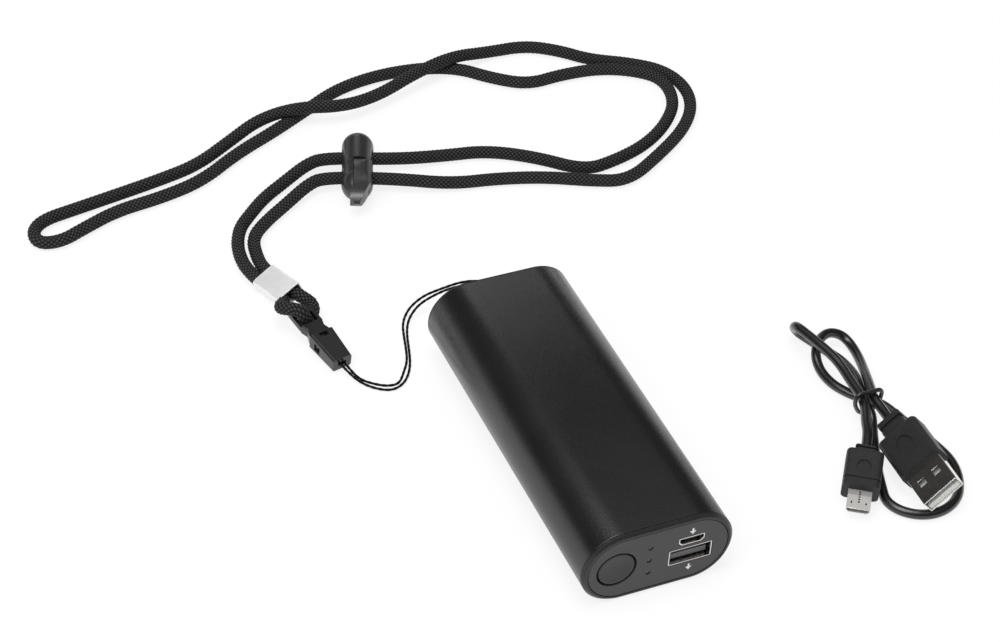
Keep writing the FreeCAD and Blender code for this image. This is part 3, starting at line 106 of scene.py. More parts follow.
class Finish:
    """The node tree of a material or of the world."""

    def __init__(self, owner):
        owner.use_nodes = True
        self.owner = owner
        self.tree = owner.node_tree

    def node(self, kind, settings=None, inputs=None, output=0):
        """Adds a node: settings first (stops are a ramp's places and colours), then values or links."""
        made = self.tree.nodes.new(kind)
        for key, value in (settings or {}).items():
            if key == "stops":
                self.set_stops(made.color_ramp, value)
            else:
                setattr(made, key, value)
        for key, value in (inputs or {}).items():
            self.feed(made.inputs[key], value)
        return Signal(self, made, output)

    def set_stops(self, ramp, stops):
        """Places a ramp's stops, each a place and a grey or a colour."""
        while len(ramp.elements) < len(stops):
            ramp.elements.new(1.0)
        for element, (place, shade) in zip(ramp.elements, stops):
            element.position = place
            element.color = rgba(shade)

    def feed(self, socket, value):
        """Links a signal to a socket, or sets the socket's own value."""
        if isinstance(value, Signal):
            self.tree.links.new(value.socket, socket)
        elif socket.type == "RGBA":
            socket.default_value = rgba(value)
        else:
            socket.default_value = value

    def sum(self, operation, *values):
        """One Math node on one or two values."""
        return self.node("ShaderNodeMath", {"operation": operation}, dict(enumerate(values)))

    def blend(self, factor, first, second):
        """A colour between two colours."""
        return self.node("ShaderNodeMix", {"data_type": "RGBA"}, {0: factor, 6: first, 7: second}, 2)

    def place(self, kind="Object"):
        """A point's own coordinates: Object in metres, or UV on the piece's map."""
        return self.node("ShaderNodeTexCoord", output=kind)

    def noise(self, place, scale, detail):
        """A soft noise from 0 to 1 with so many cells to the metre."""
        return self.node("ShaderNodeTexNoise", inputs={"Vector": place, "Scale": scale, "Detail": detail})

    def ripple(self, height, strength, distance):
        """A normal that is bent by a height."""
        return self.node("ShaderNodeBump",
                         inputs={"Strength": strength, "Distance": distance, "Height": height})

    def tone(self):
        """The colour that feeds the main shader so far."""
        link = self.tree.nodes["Principled BSDF"].inputs["Base Color"].links[0]
        return Signal(self, link.from_node, 2)

    def surface(self, **inputs):
        """Sets the main shader's sockets, named in lower case with underscores."""
        shader = self.tree.nodes["Principled BSDF"]
        for key, value in inputs.items():
            self.feed(shader.inputs[SOCKETS[key]], value)


SOCKETS = {
    "base_color": "Base Color", "roughness": "Roughness", "metallic": "Metallic", "normal": "Normal",
    "specular": "Specular IOR Level", "coat": "Coat Weight", "coat_roughness": "Coat Roughness",
    "transmission": "Transmission Weight", "ior": "IOR",
}


def rgba(shade):
    """A grey or a colour as the four numbers that a socket holds."""
    if isinstance(shade, (int, float)):
        return (shade, shade, shade, 1.0)
    return (*shade[:3], 1.0)


def scaled(shade, share):
    """A colour made darker or lighter by a share."""
    return [part * share for part in shade]


def new_finish(name):
    """An empty finish for a new material."""
    return Finish(bpy.data.materials.new(name))


print("shader helpers ready,", len(SOCKETS), "named sockets")

# %% [markdown]
# ## The camera
# A product photograph is taken from a distance with a long lens, so the parallel sides of the tube hardly
# converge. The camera stands in front and to the left, looks down by about 41 degrees and leans by under
# 4 degrees. Its three axes are written out, because they then fit the picture exactly.

# %% Place the camera
camera_place = (-0.2532, -0.4812, 0.5174)
camera_forward = np.array((0.3242, 0.6848, -0.6527))
camera_right = np.array((0.9198, -0.3893, 0.0484))
camera_forward /= np.linalg.norm(camera_forward)
camera_right -= camera_forward * (camera_right @ camera_forward)
camera_right /= np.linalg.norm(camera_right)
camera_up = np.cross(camera_right, camera_forward)

lens = bpy.data.cameras.new("studio_camera")
lens.sensor_width = 36.0
lens.lens = 93.2
lens.clip_start = 0.01
camera = bpy.data.objects.new("studio_camera", lens)
bpy.context.scene.collection.objects.link(camera)
axes = np.column_stack([camera_right, camera_up, -camera_forward, camera_place])
camera.matrix_world = Matrix([*axes.tolist(), [0, 0, 0, 1]])
bpy.context.scene.camera = camera
print("camera", lens.lens, "mm lens, looks along", camera_forward.round(3).tolist())

# %% [markdown]
# ## Surfaces on a grid
# Every new piece is a grid of points: rows along the piece and columns around it. The same few helpers put
# such a grid into a mesh, close its ends, weld its seams and turn its faces outwards.

# %% Grid helpers
weld_distance = 1e-7


def grid_faces(rows, columns, closed_rows):
    """Quads between each row and the next; columns always close, and rows close where asked."""
    row = np.arange(rows if closed_rows else rows - 1)[:, None]
    column = np.arange(columns)[None, :]
    after = (column + 1) % columns
    below = (row + 1) % rows
    upper = row * columns
    lower = below * columns
    corners = np.broadcast_arrays(upper + column, upper + after, lower + after, lower + column)
    return np.stack(corners, axis=-1).reshape(-1, 4)


def grid_uv(rows, columns, closed_rows, along):
    """Corner coordinates: u is the share of a turn, v the length along the piece over its girth."""
    spans = rows if closed_rows else rows - 1
    column = np.broadcast_to(np.arange(columns)[None, :], (spans, columns))
    low = np.broadcast_to(along[:spans, None], (spans, columns))
    high = np.broadcast_to(along[1:spans + 1, None], (spans, columns))
    u = np.stack([column, column + 1, column + 1, column], axis=-1) / columns
    v = np.stack([low, low, high, high], axis=-1)
    return np.stack([u, v], axis=-1).reshape(-1, 2)


def weld(mesh):
    """Merges points that lie together and turns all faces outwards."""
    work = bmesh.new()
    work.from_mesh(mesh)
    bmesh.ops.remove_doubles(work, verts=work.verts, dist=weld_distance)
    bmesh.ops.recalc_face_normals(work, faces=work.faces)
    work.to_mesh(mesh)
    work.free()


def add_piece(name, mesh, finish, body, slot, *stood_for):
    """Links a mesh as a piece that rides on a body, with its finish and the nodes it stands for."""
    piece = bpy.data.objects.new(name, mesh)
    bpy.context.scene.collection.objects.link(piece)
    mesh.materials.clear()
    mesh.materials.append(finish.owner)
    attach(piece, body)
    if stood_for:
        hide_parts(*stood_for)
    print("piece", name, len(mesh.polygons), "faces, in place of", stood_for or "nothing")
    return piece


def grid_mesh(name, grid, closed_rows=False, along=None, crease=None):
    """A mesh from a grid of points; along gives v for its map, crease the angle that stays sharp."""
    rows, columns = grid.shape[:2]
    mesh = bpy.data.meshes.new(name)
    mesh.from_pydata(grid.reshape(-1, 3), [], grid_faces(rows, columns, closed_rows))
    if along is not None:
        layer = mesh.uv_layers.new(name="surface_map")
        layer.uv.foreach_set("vector", grid_uv(rows, columns, closed_rows, along).ravel())
    weld(mesh)
    mesh.shade_smooth()
    if crease is not None:
        mesh.set_sharp_from_angle(angle=math.radians(crease))
    return mesh


print("grid helpers ready")

# %% [markdown]
# ## Cords: the lines they follow
# A cord is one smooth line. Its route points are the control points of a NURBS spline, which leans into
# every corner as a limp cord does. Blender draws the spline, and its drawn points carry the tube's rings,
# so the tube and the spline can't drift apart.

# %% Routes
neck_cord_route = np.array([
    (-58.4, 95.0, 3.4), (-61.8, 105.9, 2.15), (-61.8, 117.6, 2.15), (-58.0, 127.8, 2.15),
    (-52.1, 134.0, 2.15), (-45.1, 140.6, 2.15), (-36.4, 145.9, 2.4), (-27.5, 150.6, 3.6),
    (-20.8, 151.62, 4.2), (1.15, 143.22, 4.2), (17.6, 142.2, 2.2), (31.8, 140.1, 2.15),
    (46.0, 131.5, 2.15), (58.5, 119.5, 2.15), (70.5, 121.3, 2.15), (83.0, 125.5, 2.15), (94.4, 133.4, 2.15),
    (103.6, 144.7, 2.15), (105.2, 158.4, 2.15), (97.2, 166.0, 2.15), (86.5, 170.6, 2.15),
    (73.0, 171.5, 2.15), (60.0, 170.0, 2.15), (49.5, 177.5, 2.15), (41.0, 186.5, 2.15),
    (29.0, 190.8, 2.15), (13.0, 191.8, 2.15), (-3.0, 188.5, 2.15), (-17.0, 180.5, 2.15),
    (-31.0, 172.8, 2.15), (-46.0, 165.6, 2.15), (-61.0, 155.6, 2.15), (-76.0, 151.6, 2.15),
    (-91.0, 149.8, 2.15), (-103.0, 144.8, 2.15), (-111.5, 140.8, 2.15), (-118.6, 142.0, 2.15),
    (-119.0, 148.4, 2.15), (-114.0, 153.0, 2.15), (-104.1, 154.8, 2.15), (-90.1, 157.4, 2.15),
    (-75.1, 160.3, 2.15), (-60.0, 164.0, 2.15), (-46.0, 172.8, 2.15), (-33.9, 178.8, 3.9),
    (-21.0, 177.8, 6.4), (-6.1, 173.3, 6.4), (8.6, 177.7, 4.6), (23.6, 183.1, 6.5),
    (39.0, 188.1, 6.5), (54.4, 192.0, 2.2), (67.8, 191.5, 2.15), (78.0, 185.0, 2.15),
    (85.8, 176.6, 2.15), (98.0, 170.2, 2.15), (107.5, 162.4, 2.15), (110.6, 151.2, 2.15),
    (107.6, 139.6, 2.15), (98.9, 129.0, 2.15), (85.9, 119.6, 2.15), (69.8, 109.8, 2.15),
    (58.0, 114.0, 2.15), (45.0, 120.5, 2.15), (30.0, 125.0, 2.15), (14.2, 127.2, 2.4),
    (-3.03, 133.67, 4.2), (-24.5, 141.9, 4.2), (-30.6, 140.4, 3.6), (-38.9, 135.4, 2.4),
    (-48.7, 128.8, 2.15), (-55.2, 122.5, 2.15), (-56.9, 113.5, 2.15), (-57.35, 104.77, 3.5),
    (-54.9, 96.4, 4.8),
]) * MM
buckle_loop_route = np.array([
    (-57.65, 92.49, 3.75), (-56.3, 87.4, 4.3), (-60.6, 82.6, 6.8), (-55.7, 76.9, 9.7),
    (-53.6, 76.1, 5.0), (-52.9, 78.3, 2.2), (-47.9, 83.8, 3.2), (-52.5, 88.6, 5.5),
    (-54.1, 93.8, 5.2),
]) * MM
string_route = np.array([
    (-49.14, 59.14, 2.98), (-48.42, 55.74, 2.58), (-46.5, 50.6, 0.9), (-42.8, 47.3, 0.55),
    (-39.3, 45.1, 0.55), (-35.7, 45.0, 0.55), (-32.8, 49.1, 0.55), (-29.9, 53.5, 0.55),
    (-28.2, 58.9, 0.55), (-26.75, 64.3, 0.55), (-25.4, 68.9, 0.55), (-23.4, 72.5, 0.8),
    (-20.5, 74.9, 2.2), (-16.4, 74.6, 5.6), (-12.0, 71.7, 9.4), (-6.7, 69.4, 12.4),
    (-1.9, 67.0, 13.6), (1.4, 63.8, 13.2), (1.65, 59.5, 12.3), (1.65, 53.3, 12.2),
    (-1.65, 53.3, 12.2), (-1.65, 59.3, 12.3), (-2.6, 63.6, 12.9), (-5.6, 67.4, 12.6),
    (-10.0, 69.9, 10.4), (-14.4, 71.9, 7.2), (-18.4, 73.4, 3.6), (-21.9, 71.7, 1.2),
    (-24.1, 68.5, 0.55), (-25.85, 64.0, 0.55), (-27.35, 58.7, 0.55), (-29.05, 53.2, 0.55),
    (-31.3, 48.4, 0.55), (-34.5, 44.5, 0.55), (-38.6, 42.9, 0.55), (-42.7, 44.9, 0.55),
    (-46.8, 49.1, 0.9), (-49.7, 55.47, 2.58), (-50.42, 58.87, 2.98),
]) * MM
charge_cable_route = np.array([
    (77.75, -33.82, 7.1), (81.2, -28.7, 7.96), (83.0, -24.2, 7.8), (85.9, -18.7, 7.6),
    (87.2, -15.1, 7.5), (87.4, -11.5, 7.7), (87.4, -6.6, 8.0), (87.6, -1.7, 8.4),
    (87.2, 2.1, 9.0), (86.4, 6.0, 9.3), (85.3, 10.3, 9.4), (84.2, 15.4, 9.2),
    (82.9, 20.6, 8.9), (86.5, 25.2, 1.6), (89.9, 17.1, 1.55), (91.8, 12.3, 1.6),
    (93.2, 7.1, 2.2), (92.4, -1.8, 4.2), (90.6, -6.8, 5.2), (89.5, -12.0, 4.7),
    (89.0, -15.0, 4.6), (89.2, -17.6, 3.2), (88.5, -19.9, 2.0), (86.2, -24.6, 1.55),
    (80.6, -36.9, 1.55), (77.7, -45.1, 1.55), (76.3, -49.6, 1.55), (77.8, -54.1, 1.55),
    (81.7, -57.6, 1.55), (86.5, -59.1, 1.55), (91.7, -58.5, 1.55), (96.4, -55.8, 1.55),
    (99.8, -51.3, 1.55), (102.0, -46.0, 1.55), (102.7, -40.6, 1.55), (101.7, -34.8, 1.55),
    (99.9, -27.6, 1.55), (97.6, -20.6, 1.55), (96.0, -14.6, 1.7), (93.8, -11.0, 1.6),
    (89.6, -7.4, 1.55), (87.1, -3.4, 1.55), (85.8, -0.3, 1.55), (85.1, 3.9, 1.6),
    (85.15, 7.85, 2.2), (85.8, 11.1, 3.8), (87.6, 13.8, 5.0), (90.6, 16.4, 5.4),
    (94.4, 17.8, 4.8), (98.0, 16.8, 3.4), (99.4, 14.0, 2.2), (99.2, 9.2, 2.0),
    (97.4, 2.5, 3.0), (93.9, -6.3, 5.8), (91.4, -13.0, 7.2), (90.5, -15.4, 7.5),
    (90.91, -21.92, 6.82), (90.66, -25.45, 7.05),
]) * MM


spline_resolution = 24
cord_step = 0.4 * MM
string_step = 0.2 * MM
cable_step = 0.8 * MM


def spline_line(route, step):
    """Even stations, a step apart, on the drawn points of the NURBS spline through a route."""
    curve = bpy.data.curves.new("guide", "CURVE")
    curve.dimensions = "3D"
    curve.resolution_u = spline_resolution
    spline = curve.splines.new("NURBS")
    spline.points.add(len(route) - 1)
    spline.points.foreach_set("co", np.column_stack([route, np.ones(len(route))]).ravel())
    spline.order_u = 3
    spline.use_endpoint_u = True
    guide = bpy.data.objects.new("guide", curve)
    bpy.context.scene.collection.objects.link(guide)
    bpy.context.view_layer.update()
    drawn = bpy.data.meshes.new_from_object(guide)
    line = np.empty(len(drawn.vertices) * 3)
    drawn.vertices.foreach_get("co", line)
    line = line.reshape(-1, 3)
    bpy.data.objects.remove(guide)
    bpy.data.meshes.remove(drawn)
    travelled = np.append(0, np.cumsum(np.linalg.norm(np.diff(line, axis=0), axis=1)))
    stations = np.linspace(0, travelled[-1], round(travelled[-1] / step) + 1)
    even = np.column_stack([np.interp(stations, travelled, line[:, axis]) for axis in range(3)])
    return even, stations


neck_line, neck_stations = spline_line(neck_cord_route, cord_step)
loop_line, loop_stations = spline_line(buckle_loop_route, cord_step)
string_line, string_stations = spline_line(string_route, string_step)
cable_line, cable_stations = spline_line(charge_cable_route, cable_step)
for label, stations in (("neck cord", neck_stations), ("buckle loop", loop_stations),
                        ("string", string_stations), ("charging cable", cable_stations)):
    print(label, "is", round(stations[-1] / MM, 1), "mm long")

# %% [markdown]
# ## Cords: finishes
# The neck cord is a braid of dull black polyester: yarns lie over and under each other in slanting rows.
# The rows come from the piece's own map, which runs around and along the cord, so the pattern bends with
# it. The string is a fine twisted ply, and the cable a smooth soft vinyl with a faint orange-peel skin.

# %% Cord finishes
cord_radius = 2.15 * MM
string_radius = 0.42 * MM
cable_radius = 1.5 * MM
braid_cells = 9
braid_pitch = 1.5 * MM
braid_rows = 2 * math.pi * cord_radius / braid_pitch
crown_power = 0.6
filaments_per_row = 5.0
fuzz_scale = 2600.0
sway_scale = 180.0
peel_scale = 1900.0


def yarn_finish(name, shade, rows_around, rows_along, slant):
    """Two families of slanting rows, sin(a) and sin(b); fine filaments run along the row on top."""
    finish = new_finish(name)
    apart = finish.node("ShaderNodeSeparateXYZ", inputs={0: finish.place("UV")})
    around = apart * (rows_around * math.pi)
    along = apart.out("Y") * (rows_along * math.pi)
    first = finish.sum("SINE", around + along)
    second = finish.sum("SINE", around - along * slant)
    crown = abs(first * second) ** crown_power
    filaments = finish.sum("SINE", (around + along) * filaments_per_row) * 0.5 + 0.5
    fuzz = finish.noise(finish.place(), fuzz_scale, 3.0)
    height = crown * 0.7 + filaments * 0.15 + fuzz * 0.15
    # Painted light: yarn crowns are painted lighter as a highlight, and the gaps between yarns nearly black
    # as painted shade.
    tone = finish.blend(crown * crown * crown * 0.9 + fuzz * 0.1, scaled(shade, 0.04), shade)
    finish.surface(base_color=tone, roughness=0.8 - crown * 0.25, specular=0.15,
                   normal=finish.ripple(height, 0.7, 0.3 * MM))
    return finish


def vinyl_finish(name, shade, roughness):
    """A smooth moulded skin: a soft noise sways its gloss, and a finer one ripples it."""
    finish = new_finish(name)
    place = finish.place()
    sway = finish.noise(place, sway_scale, 2.0)
    peel = finish.noise(place, peel_scale, 2.0)
    tone = finish.blend(sway, scaled(shade, 0.7), scaled(shade, 1.25))
    finish.surface(base_color=tone, roughness=sway * 0.16 + (roughness - 0.08), specular=0.6, coat=0.5,
                   coat_roughness=roughness, normal=finish.ripple(peel, 0.06, 0.2 * MM))
    return finish


braid_finish = yarn_finish("braided_polyester", (0.072, 0.072, 0.073), braid_cells, braid_rows, 1.0)
string_finish = yarn_finish("twisted_string", (0.014, 0.014, 0.0145), 2, 1.6, 0.0)
cable_finish = vinyl_finish("cable_vinyl", (0.003, 0.003, 0.003), 0.32)
print("cord finishes:", braid_finish.owner.name, string_finish.owner.name, cable_finish.owner.name)

# %% [markdown]
# ## Cords: tubes with relief
# A profile is carried along the line: at every station a ring stands square to the line, and its radius
# swells and dips with the braid. A bevelled curve would be smooth, and the braid would then be only paint.
# The ring's zero angle is held by a reference direction that the line never points along: up for a cord
# that lies down, across the buckle for the loop, and sideways where the cable folds down on itself.

# %% Shape the cords
def tube_grid(line, radius, reference):
    """point = line + radius(station, angle) * (cos(angle) side + sin(angle) lift), with closed ends."""
    columns = radius.shape[1]
    tangent = np.gradient(line, axis=0)
    tangent /= np.linalg.norm(tangent, axis=1, keepdims=True)
    side = np.cross(tangent, reference)
    side /= np.linalg.norm(side, axis=1, keepdims=True)
    lift = np.cross(side, tangent)
    angle = np.linspace(0, 2 * math.pi, columns, endpoint=False)[None, :, None]
    ring = np.cos(angle) * side[:, None, :] + np.sin(angle) * lift[:, None, :]
    grid = line[:, None, :] + radius[:, :, None] * ring
    first = np.repeat(line[:1, None, :], columns, axis=1)
    last = np.repeat(line[-1:, None, :], columns, axis=1)
    return np.concatenate([first, grid, last])


def braid_radius(stations, columns, depth):
    """radius * (1 - depth * (1 - |sin(a) sin(b)| ^ power)): a and b count cells on opposite helices."""
    turn = np.linspace(0, 1, columns, endpoint=False)[None, :] * braid_cells
    along = stations[:, None] / braid_pitch
    crown = np.abs(np.sin(math.pi * (turn + along)) * np.sin(math.pi * (turn - along)))
    return cord_radius * (1 - depth * (1 - crown ** crown_power))


def ply_radius(stations, columns, radius, pitch, depth):
    """radius * (1 - depth * (1 - cos(2 angle - turns))/2): two plies that wind round each other."""
    turn = np.linspace(0, 2 * math.pi, columns, endpoint=False)[None, :]
    wind = stations[:, None] * (2 * math.pi / pitch)
    return radius * (1 - depth * (1 - np.cos(2 * turn - wind)) / 2)


def map_length(stations, radius):
    """v of the map at each row: the length along over the girth, repeated for the two closed ends."""
    share = stations / (2 * math.pi * radius)
    return np.concatenate([share[:1], share, share[-1:]])


def add_cord(name, line, stations, thickness, radius, reference, finish, body, slot, node):
    """A tube along a line, mapped by its thickness and linked as a piece."""
    grid = tube_grid(line, radius, reference)
    mesh = grid_mesh(name, grid, along=map_length(stations, thickness))
    return add_piece(name, mesh, finish, body, slot, node)


print("cord shapes ready")

# %% Build the cords
up = np.array((0.0, 0.0, 1.0))
sideways = np.array((1.0, 0.0, 0.0))
across_buckle = np.array((0.9781, 0.2079, 0.0))
cord_columns = 36
string_columns = 14
cable_columns = 20
braid_depth = 0.14
ply_pitch = 2.2 * MM
ply_depth = 0.16
fold_place = np.array((84.7, 22.9, 5.2)) * MM
fold_reach = 8.0 * MM

neck_cord = add_cord("neck_cord_braid", neck_line, neck_stations, cord_radius,
                     braid_radius(neck_stations, cord_columns, braid_depth), up,
                     braid_finish, "neck_lanyard", "braid", "neck_cord")
buckle_loop = add_cord("buckle_loop_braid", loop_line, loop_stations, cord_radius,
                       braid_radius(loop_stations, cord_columns, braid_depth), across_buckle,
                       braid_finish, "neck_lanyard", "braid", "buckle_loop")
string = add_cord("string_ply", string_line, string_stations, string_radius,
                  ply_radius(string_stations, string_columns, string_radius, ply_pitch, ply_depth), up,
                  string_finish, "warmer", "braid", "lanyard_string")
nearness = np.exp(-(np.linalg.norm(cable_line - fold_place, axis=1) / fold_reach) ** 4)[:, None]
cable = add_cord("cable_jacket", cable_line, cable_stations, cable_radius,
                 np.full((len(cable_line), cable_columns), cable_radius),
                 nearness * sideways + (1 - nearness) * up,
                 cable_finish, "warmer", "cable", "charge_cable")

# %% [markdown]
# ## Coats, metals and clear plastic
# The tube is aluminium under a thin dull black coat with a fine grain. A white room reflects weakly from
# its top and strongly where a round side turns away, so the gloss must come from the shader: a low
# reflectance, a middling roughness and a grain that only ripples the surface. A metal has fine streaks
# from rolling or drawing. Where a metal is less than fully metallic, its pale diffuse tone is a painted
# reflection.

# %% Plain finishes
coat_sway_scale = 60.0
metal_sway_scale = 320.0
cloud_scale = 900.0
grain_height = 0.1 * MM


def coat_finish(name, shade, roughness, grain_scale, grain_depth, specular):
    """A dull coat: fine grain in the bump, a slow sway in colour and gloss, small specks in the tone."""
    finish = new_finish(name)
    place = finish.place()
    grain = finish.noise(place, grain_scale, 2.0)
    sway = finish.noise(place, coat_sway_scale, 3.0)
    speck = finish.node("ShaderNodeTexVoronoi", inputs={"Vector": place, "Scale": grain_scale * 0.6})
    tone = finish.blend(grain * 0.5 + sway * 0.3 + speck * 0.2, scaled(shade, 0.55), scaled(shade, 1.45))
    finish.surface(base_color=tone, roughness=sway * 0.12 + grain * 0.1 + (roughness - 0.11),
                   specular=specular, normal=finish.ripple(grain, grain_depth, grain_height))
    return finish


def metal_finish(name, shade, roughness, streak, metallic=1.0):
    """A bright metal: long fine streaks and a slow sway in its gloss, and a faint tarnish in its tone."""
    finish = new_finish(name)
    place = finish.place()
    stretched = finish.node("ShaderNodeMapping", inputs={"Vector": place, "Scale": streak})
    lines = finish.noise(stretched, 1.0, 3.0)
    sway = finish.noise(place, metal_sway_scale, 2.0)
    tone = finish.blend(sway * 0.6 + lines * 0.4, scaled(shade, 0.82), shade)
    gloss = lines * 0.1 + sway * 0.1 + (roughness - 0.1)
    finish.surface(base_color=tone, metallic=metallic, roughness=gloss,
                   normal=finish.ripple(lines, 0.06, grain_height))
    return finish


def clear_finish(name, shade):
    """A cloudy clear plastic that passes light from the lamps behind it."""
    finish = new_finish(name)
    cloud = finish.noise(finish.place(), cloud_scale, 2.0)
    tone = finish.blend(cloud, scaled(shade, 0.75), shade)
    finish.surface(base_color=tone, roughness=cloud * 0.15 + 0.2, transmission=0.35, ior=1.49)
    return finish


print("plain finishes ready")

# %% [markdown]
# ## Printed arrows and dents in painted shade
# The plate has a plain arrow at each socket, printed in white ink, and the small plug's plated shell has a
# row of dents along its seam and two for its latches. The dents are not shaped: they are painted shade.
# Both are flat figures on a face, so they are tests on a point's own place: inside the figure the tone is
# ink or painted shade, and elsewhere it stays as it was.

# %% Marked finishes
arrow_slope = 0.75
arrow_head = 1.3 * MM
arrow_stem = 0.28 * MM
arrow_height = 2.3 * MM
arrow_ink = (0.75, 0.75, 0.74)
upper_arrow_gap = 0.8 * MM
lower_arrow_drop = 3.4 * MM
port_middle = sum(corner[0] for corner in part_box("large_port_shell")) / 2
arrow_marks = [
    (port_middle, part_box("small_port_shell")[1][2] + upper_arrow_gap),
    (port_middle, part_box("large_port_shell")[0][2] - lower_arrow_drop),
]
nickel_shade = (0.77, 0.75, 0.72)
nickel_roughness = 0.14
plated_streak = (900.0, 900.0, 3800.0)
# Part of the shell's brightness is diffuse tone rather than metal: a painted reflection.
metallic_with_painted_reflection = 0.6
painted_dent_shade = (0.03, 0.03, 0.03)


def printed_finish(name, shade, marks):
    """A satin coat with white arrows: a mark's place is (x, z), and its head narrows to a tip below."""
    finish = coat_finish(name, shade, 0.46, 4200.0, 0.22, 0.4)
    tone = finish.tone()
    apart = finish.node("ShaderNodeSeparateXYZ", inputs={0: finish.place()})
    ink = 0.0
    for x, z in marks:
        aside = abs(apart - x)
        height = apart.out("Z") - z
        head = finish.sum("LESS_THAN", aside, height * arrow_slope)
        head = head * finish.sum("LESS_THAN", height, arrow_head)
        stem = finish.sum("LESS_THAN", aside, arrow_stem) * finish.sum("LESS_THAN", height, arrow_height)
        stem = stem * finish.sum("GREATER_THAN", height, arrow_head * 0.5)
        ink = finish.sum("MAXIMUM", head, stem) + ink
    finish.surface(base_color=finish.blend(ink, tone, arrow_ink))
    return finish


def stamped_finish(name, place, turn, dents):
    """Plated metal with dents in painted shade; a dent's middle and half sides are along and across its
    plug.
    """
    finish = metal_finish(name, nickel_shade, nickel_roughness, plated_streak, metallic_with_painted_reflection)
    tone = finish.tone()
    own = finish.node("ShaderNodeMapping", {"vector_type": "TEXTURE"},
                      {"Vector": finish.place(),
                       "Location": [length * MM for length in place],
                       "Rotation": [math.radians(angle) for angle in turn]})
    apart = finish.node("ShaderNodeSeparateXYZ", inputs={0: own})
    dark = 0.0
    for along, across, half_length, half_width in np.array(dents) * MM:
        reach = finish.sum("MAXIMUM", abs(apart - along) / half_length,
                           abs(apart.out("Y") - across) / half_width)
        dark = finish.sum("LESS_THAN", reach, 1.0) + dark
    dark = dark * finish.sum("GREATER_THAN", apart.out("Z"), 0.0)
    # Painted shade: the flat dents are darkened where their hollows would be shaded.
    finish.surface(base_color=finish.blend(dark, tone, painted_dent_shade))
    return finish


print("arrows at", [[round(value / MM, 1) for value in mark] for mark in arrow_marks], "mm")

# %% [markdown]
# ## Which piece has which finish
# Every node names a material slot in the record, so one table from slots to finishes dresses them all. A
# coat's numbers are its shade, roughness, grain per metre, grain depth and reflectance; a metal's are its
# shade, roughness, streaks per metre and how metallic it is. The plug's core and the lock's pin differ
# from the other pieces in their slots, so they get finishes of their own.

# %% Dress the nodes
pin_streak = (300.0, 300.0, 4000.0)
clamp_streak = (1500.0, 300.0, 1500.0)
# Most of the clamp's brightness is diffuse white rather than chrome: a painted reflection.
clamp_metallic_with_painted_reflection = 0.4
finishes = {
    "casing": coat_finish("casing_coat", (0.006, 0.006, 0.006), 0.28, 3600.0, 0.4, 0.7),
    "cap": coat_finish("cap_plastic", (0.02, 0.02, 0.02), 0.36, 2600.0, 0.12, 0.35),
    "plate": printed_finish("plate_satin", (0.042, 0.042, 0.043), arrow_marks),
    "button": coat_finish("button_plastic", (0.022, 0.022, 0.0225), 0.4, 3000.0, 0.15, 0.4),
    "steel": metal_finish("pin_steel", (0.5, 0.5, 0.49), 0.3, pin_streak),
    "switch": coat_finish("switch_plastic", (0.03, 0.03, 0.032), 0.5, 2500.0, 0.1, 0.4),
    # The light guide's grey, far darker than clear plastic, is painted shade that makes the recessed light
    # holes dark.
    "clear": clear_finish("light_guide_plastic", (0.12, 0.12, 0.12)),
    "lamp": coat_finish("lamp_resin", (0.78, 0.74, 0.5), 0.35, 2000.0, 0.05, 0.5),
    "board": coat_finish("board_mask", (0.012, 0.075, 0.035), 0.35, 1500.0, 0.1, 0.5),
    "component": coat_finish("component_resin", (0.02, 0.02, 0.021), 0.55, 2500.0, 0.15, 0.4),
    "ceramic": coat_finish("ceramic_body", (0.42, 0.31, 0.2), 0.5, 1800.0, 0.08, 0.4),
    "nickel": metal_finish("plated_nickel", nickel_shade, nickel_roughness, plated_streak),
    "tongue": coat_finish("tongue_plastic", (0.13, 0.125, 0.13), 0.5, 2500.0, 0.1, 0.4),
    "contact": metal_finish("contact_gold", (0.83, 0.62, 0.28), 0.24, plated_streak),
    "cell": coat_finish("cell_sleeve", (0.03, 0.11, 0.26), 0.4, 900.0, 0.08, 0.5),
    "cradle": coat_finish("cradle_plastic", (0.55, 0.54, 0.5), 0.5, 1800.0, 0.1, 0.4),
    "foam": coat_finish("end_foam", (0.05, 0.05, 0.05), 0.9, 1400.0, 0.7, 0.2),
    "film": coat_finish("heater_film", (0.5, 0.22, 0.05), 0.32, 1200.0, 0.1, 0.5),
    "lead": vinyl_finish("lead_vinyl", (0.4, 0.03, 0.025), 0.4),
    "braid": braid_finish,
    "buckle": coat_finish("buckle_plastic", (0.008, 0.008, 0.0085), 0.27, 2600.0, 0.15, 0.7),
    "clamp": metal_finish("clamp_chrome", (0.94, 0.94, 0.94), 0.36, clamp_streak, clamp_metallic_with_painted_reflection),
    "grip": coat_finish("grip_plastic", (0.022, 0.022, 0.0225), 0.42, 1800.0, 0.5, 0.25),
    "cable": cable_finish,
}
core_finish = coat_finish("core_plastic", (0.62, 0.62, 0.6), 0.45, 2500.0, 0.08, 0.4)
dark_pin_finish = metal_finish("pin_black", (0.03, 0.03, 0.03), 0.4, pin_streak)

for node in nodes.values():
    slot = next(part["material_slot"] for part in frame["record"]["subparts"] if part["node"] == node.name)
    node.data.materials.clear()
    node.data.materials.append(finishes[slot].owner)
nodes["large_plug_core"].data.materials[0] = core_finish.owner
nodes["cord_lock_pin"].data.materials[0] = dark_pin_finish.owner
print("finishes:", len(finishes) + 2, "on", len(nodes), "nodes")

# %% [markdown]
# ## The casing tube
# The real tube is drawn aluminium: one wall profile, cut square, with its outer edges broken. That is a
# closed profile carried around a stadium outline, so both directions of the grid close on themselves.

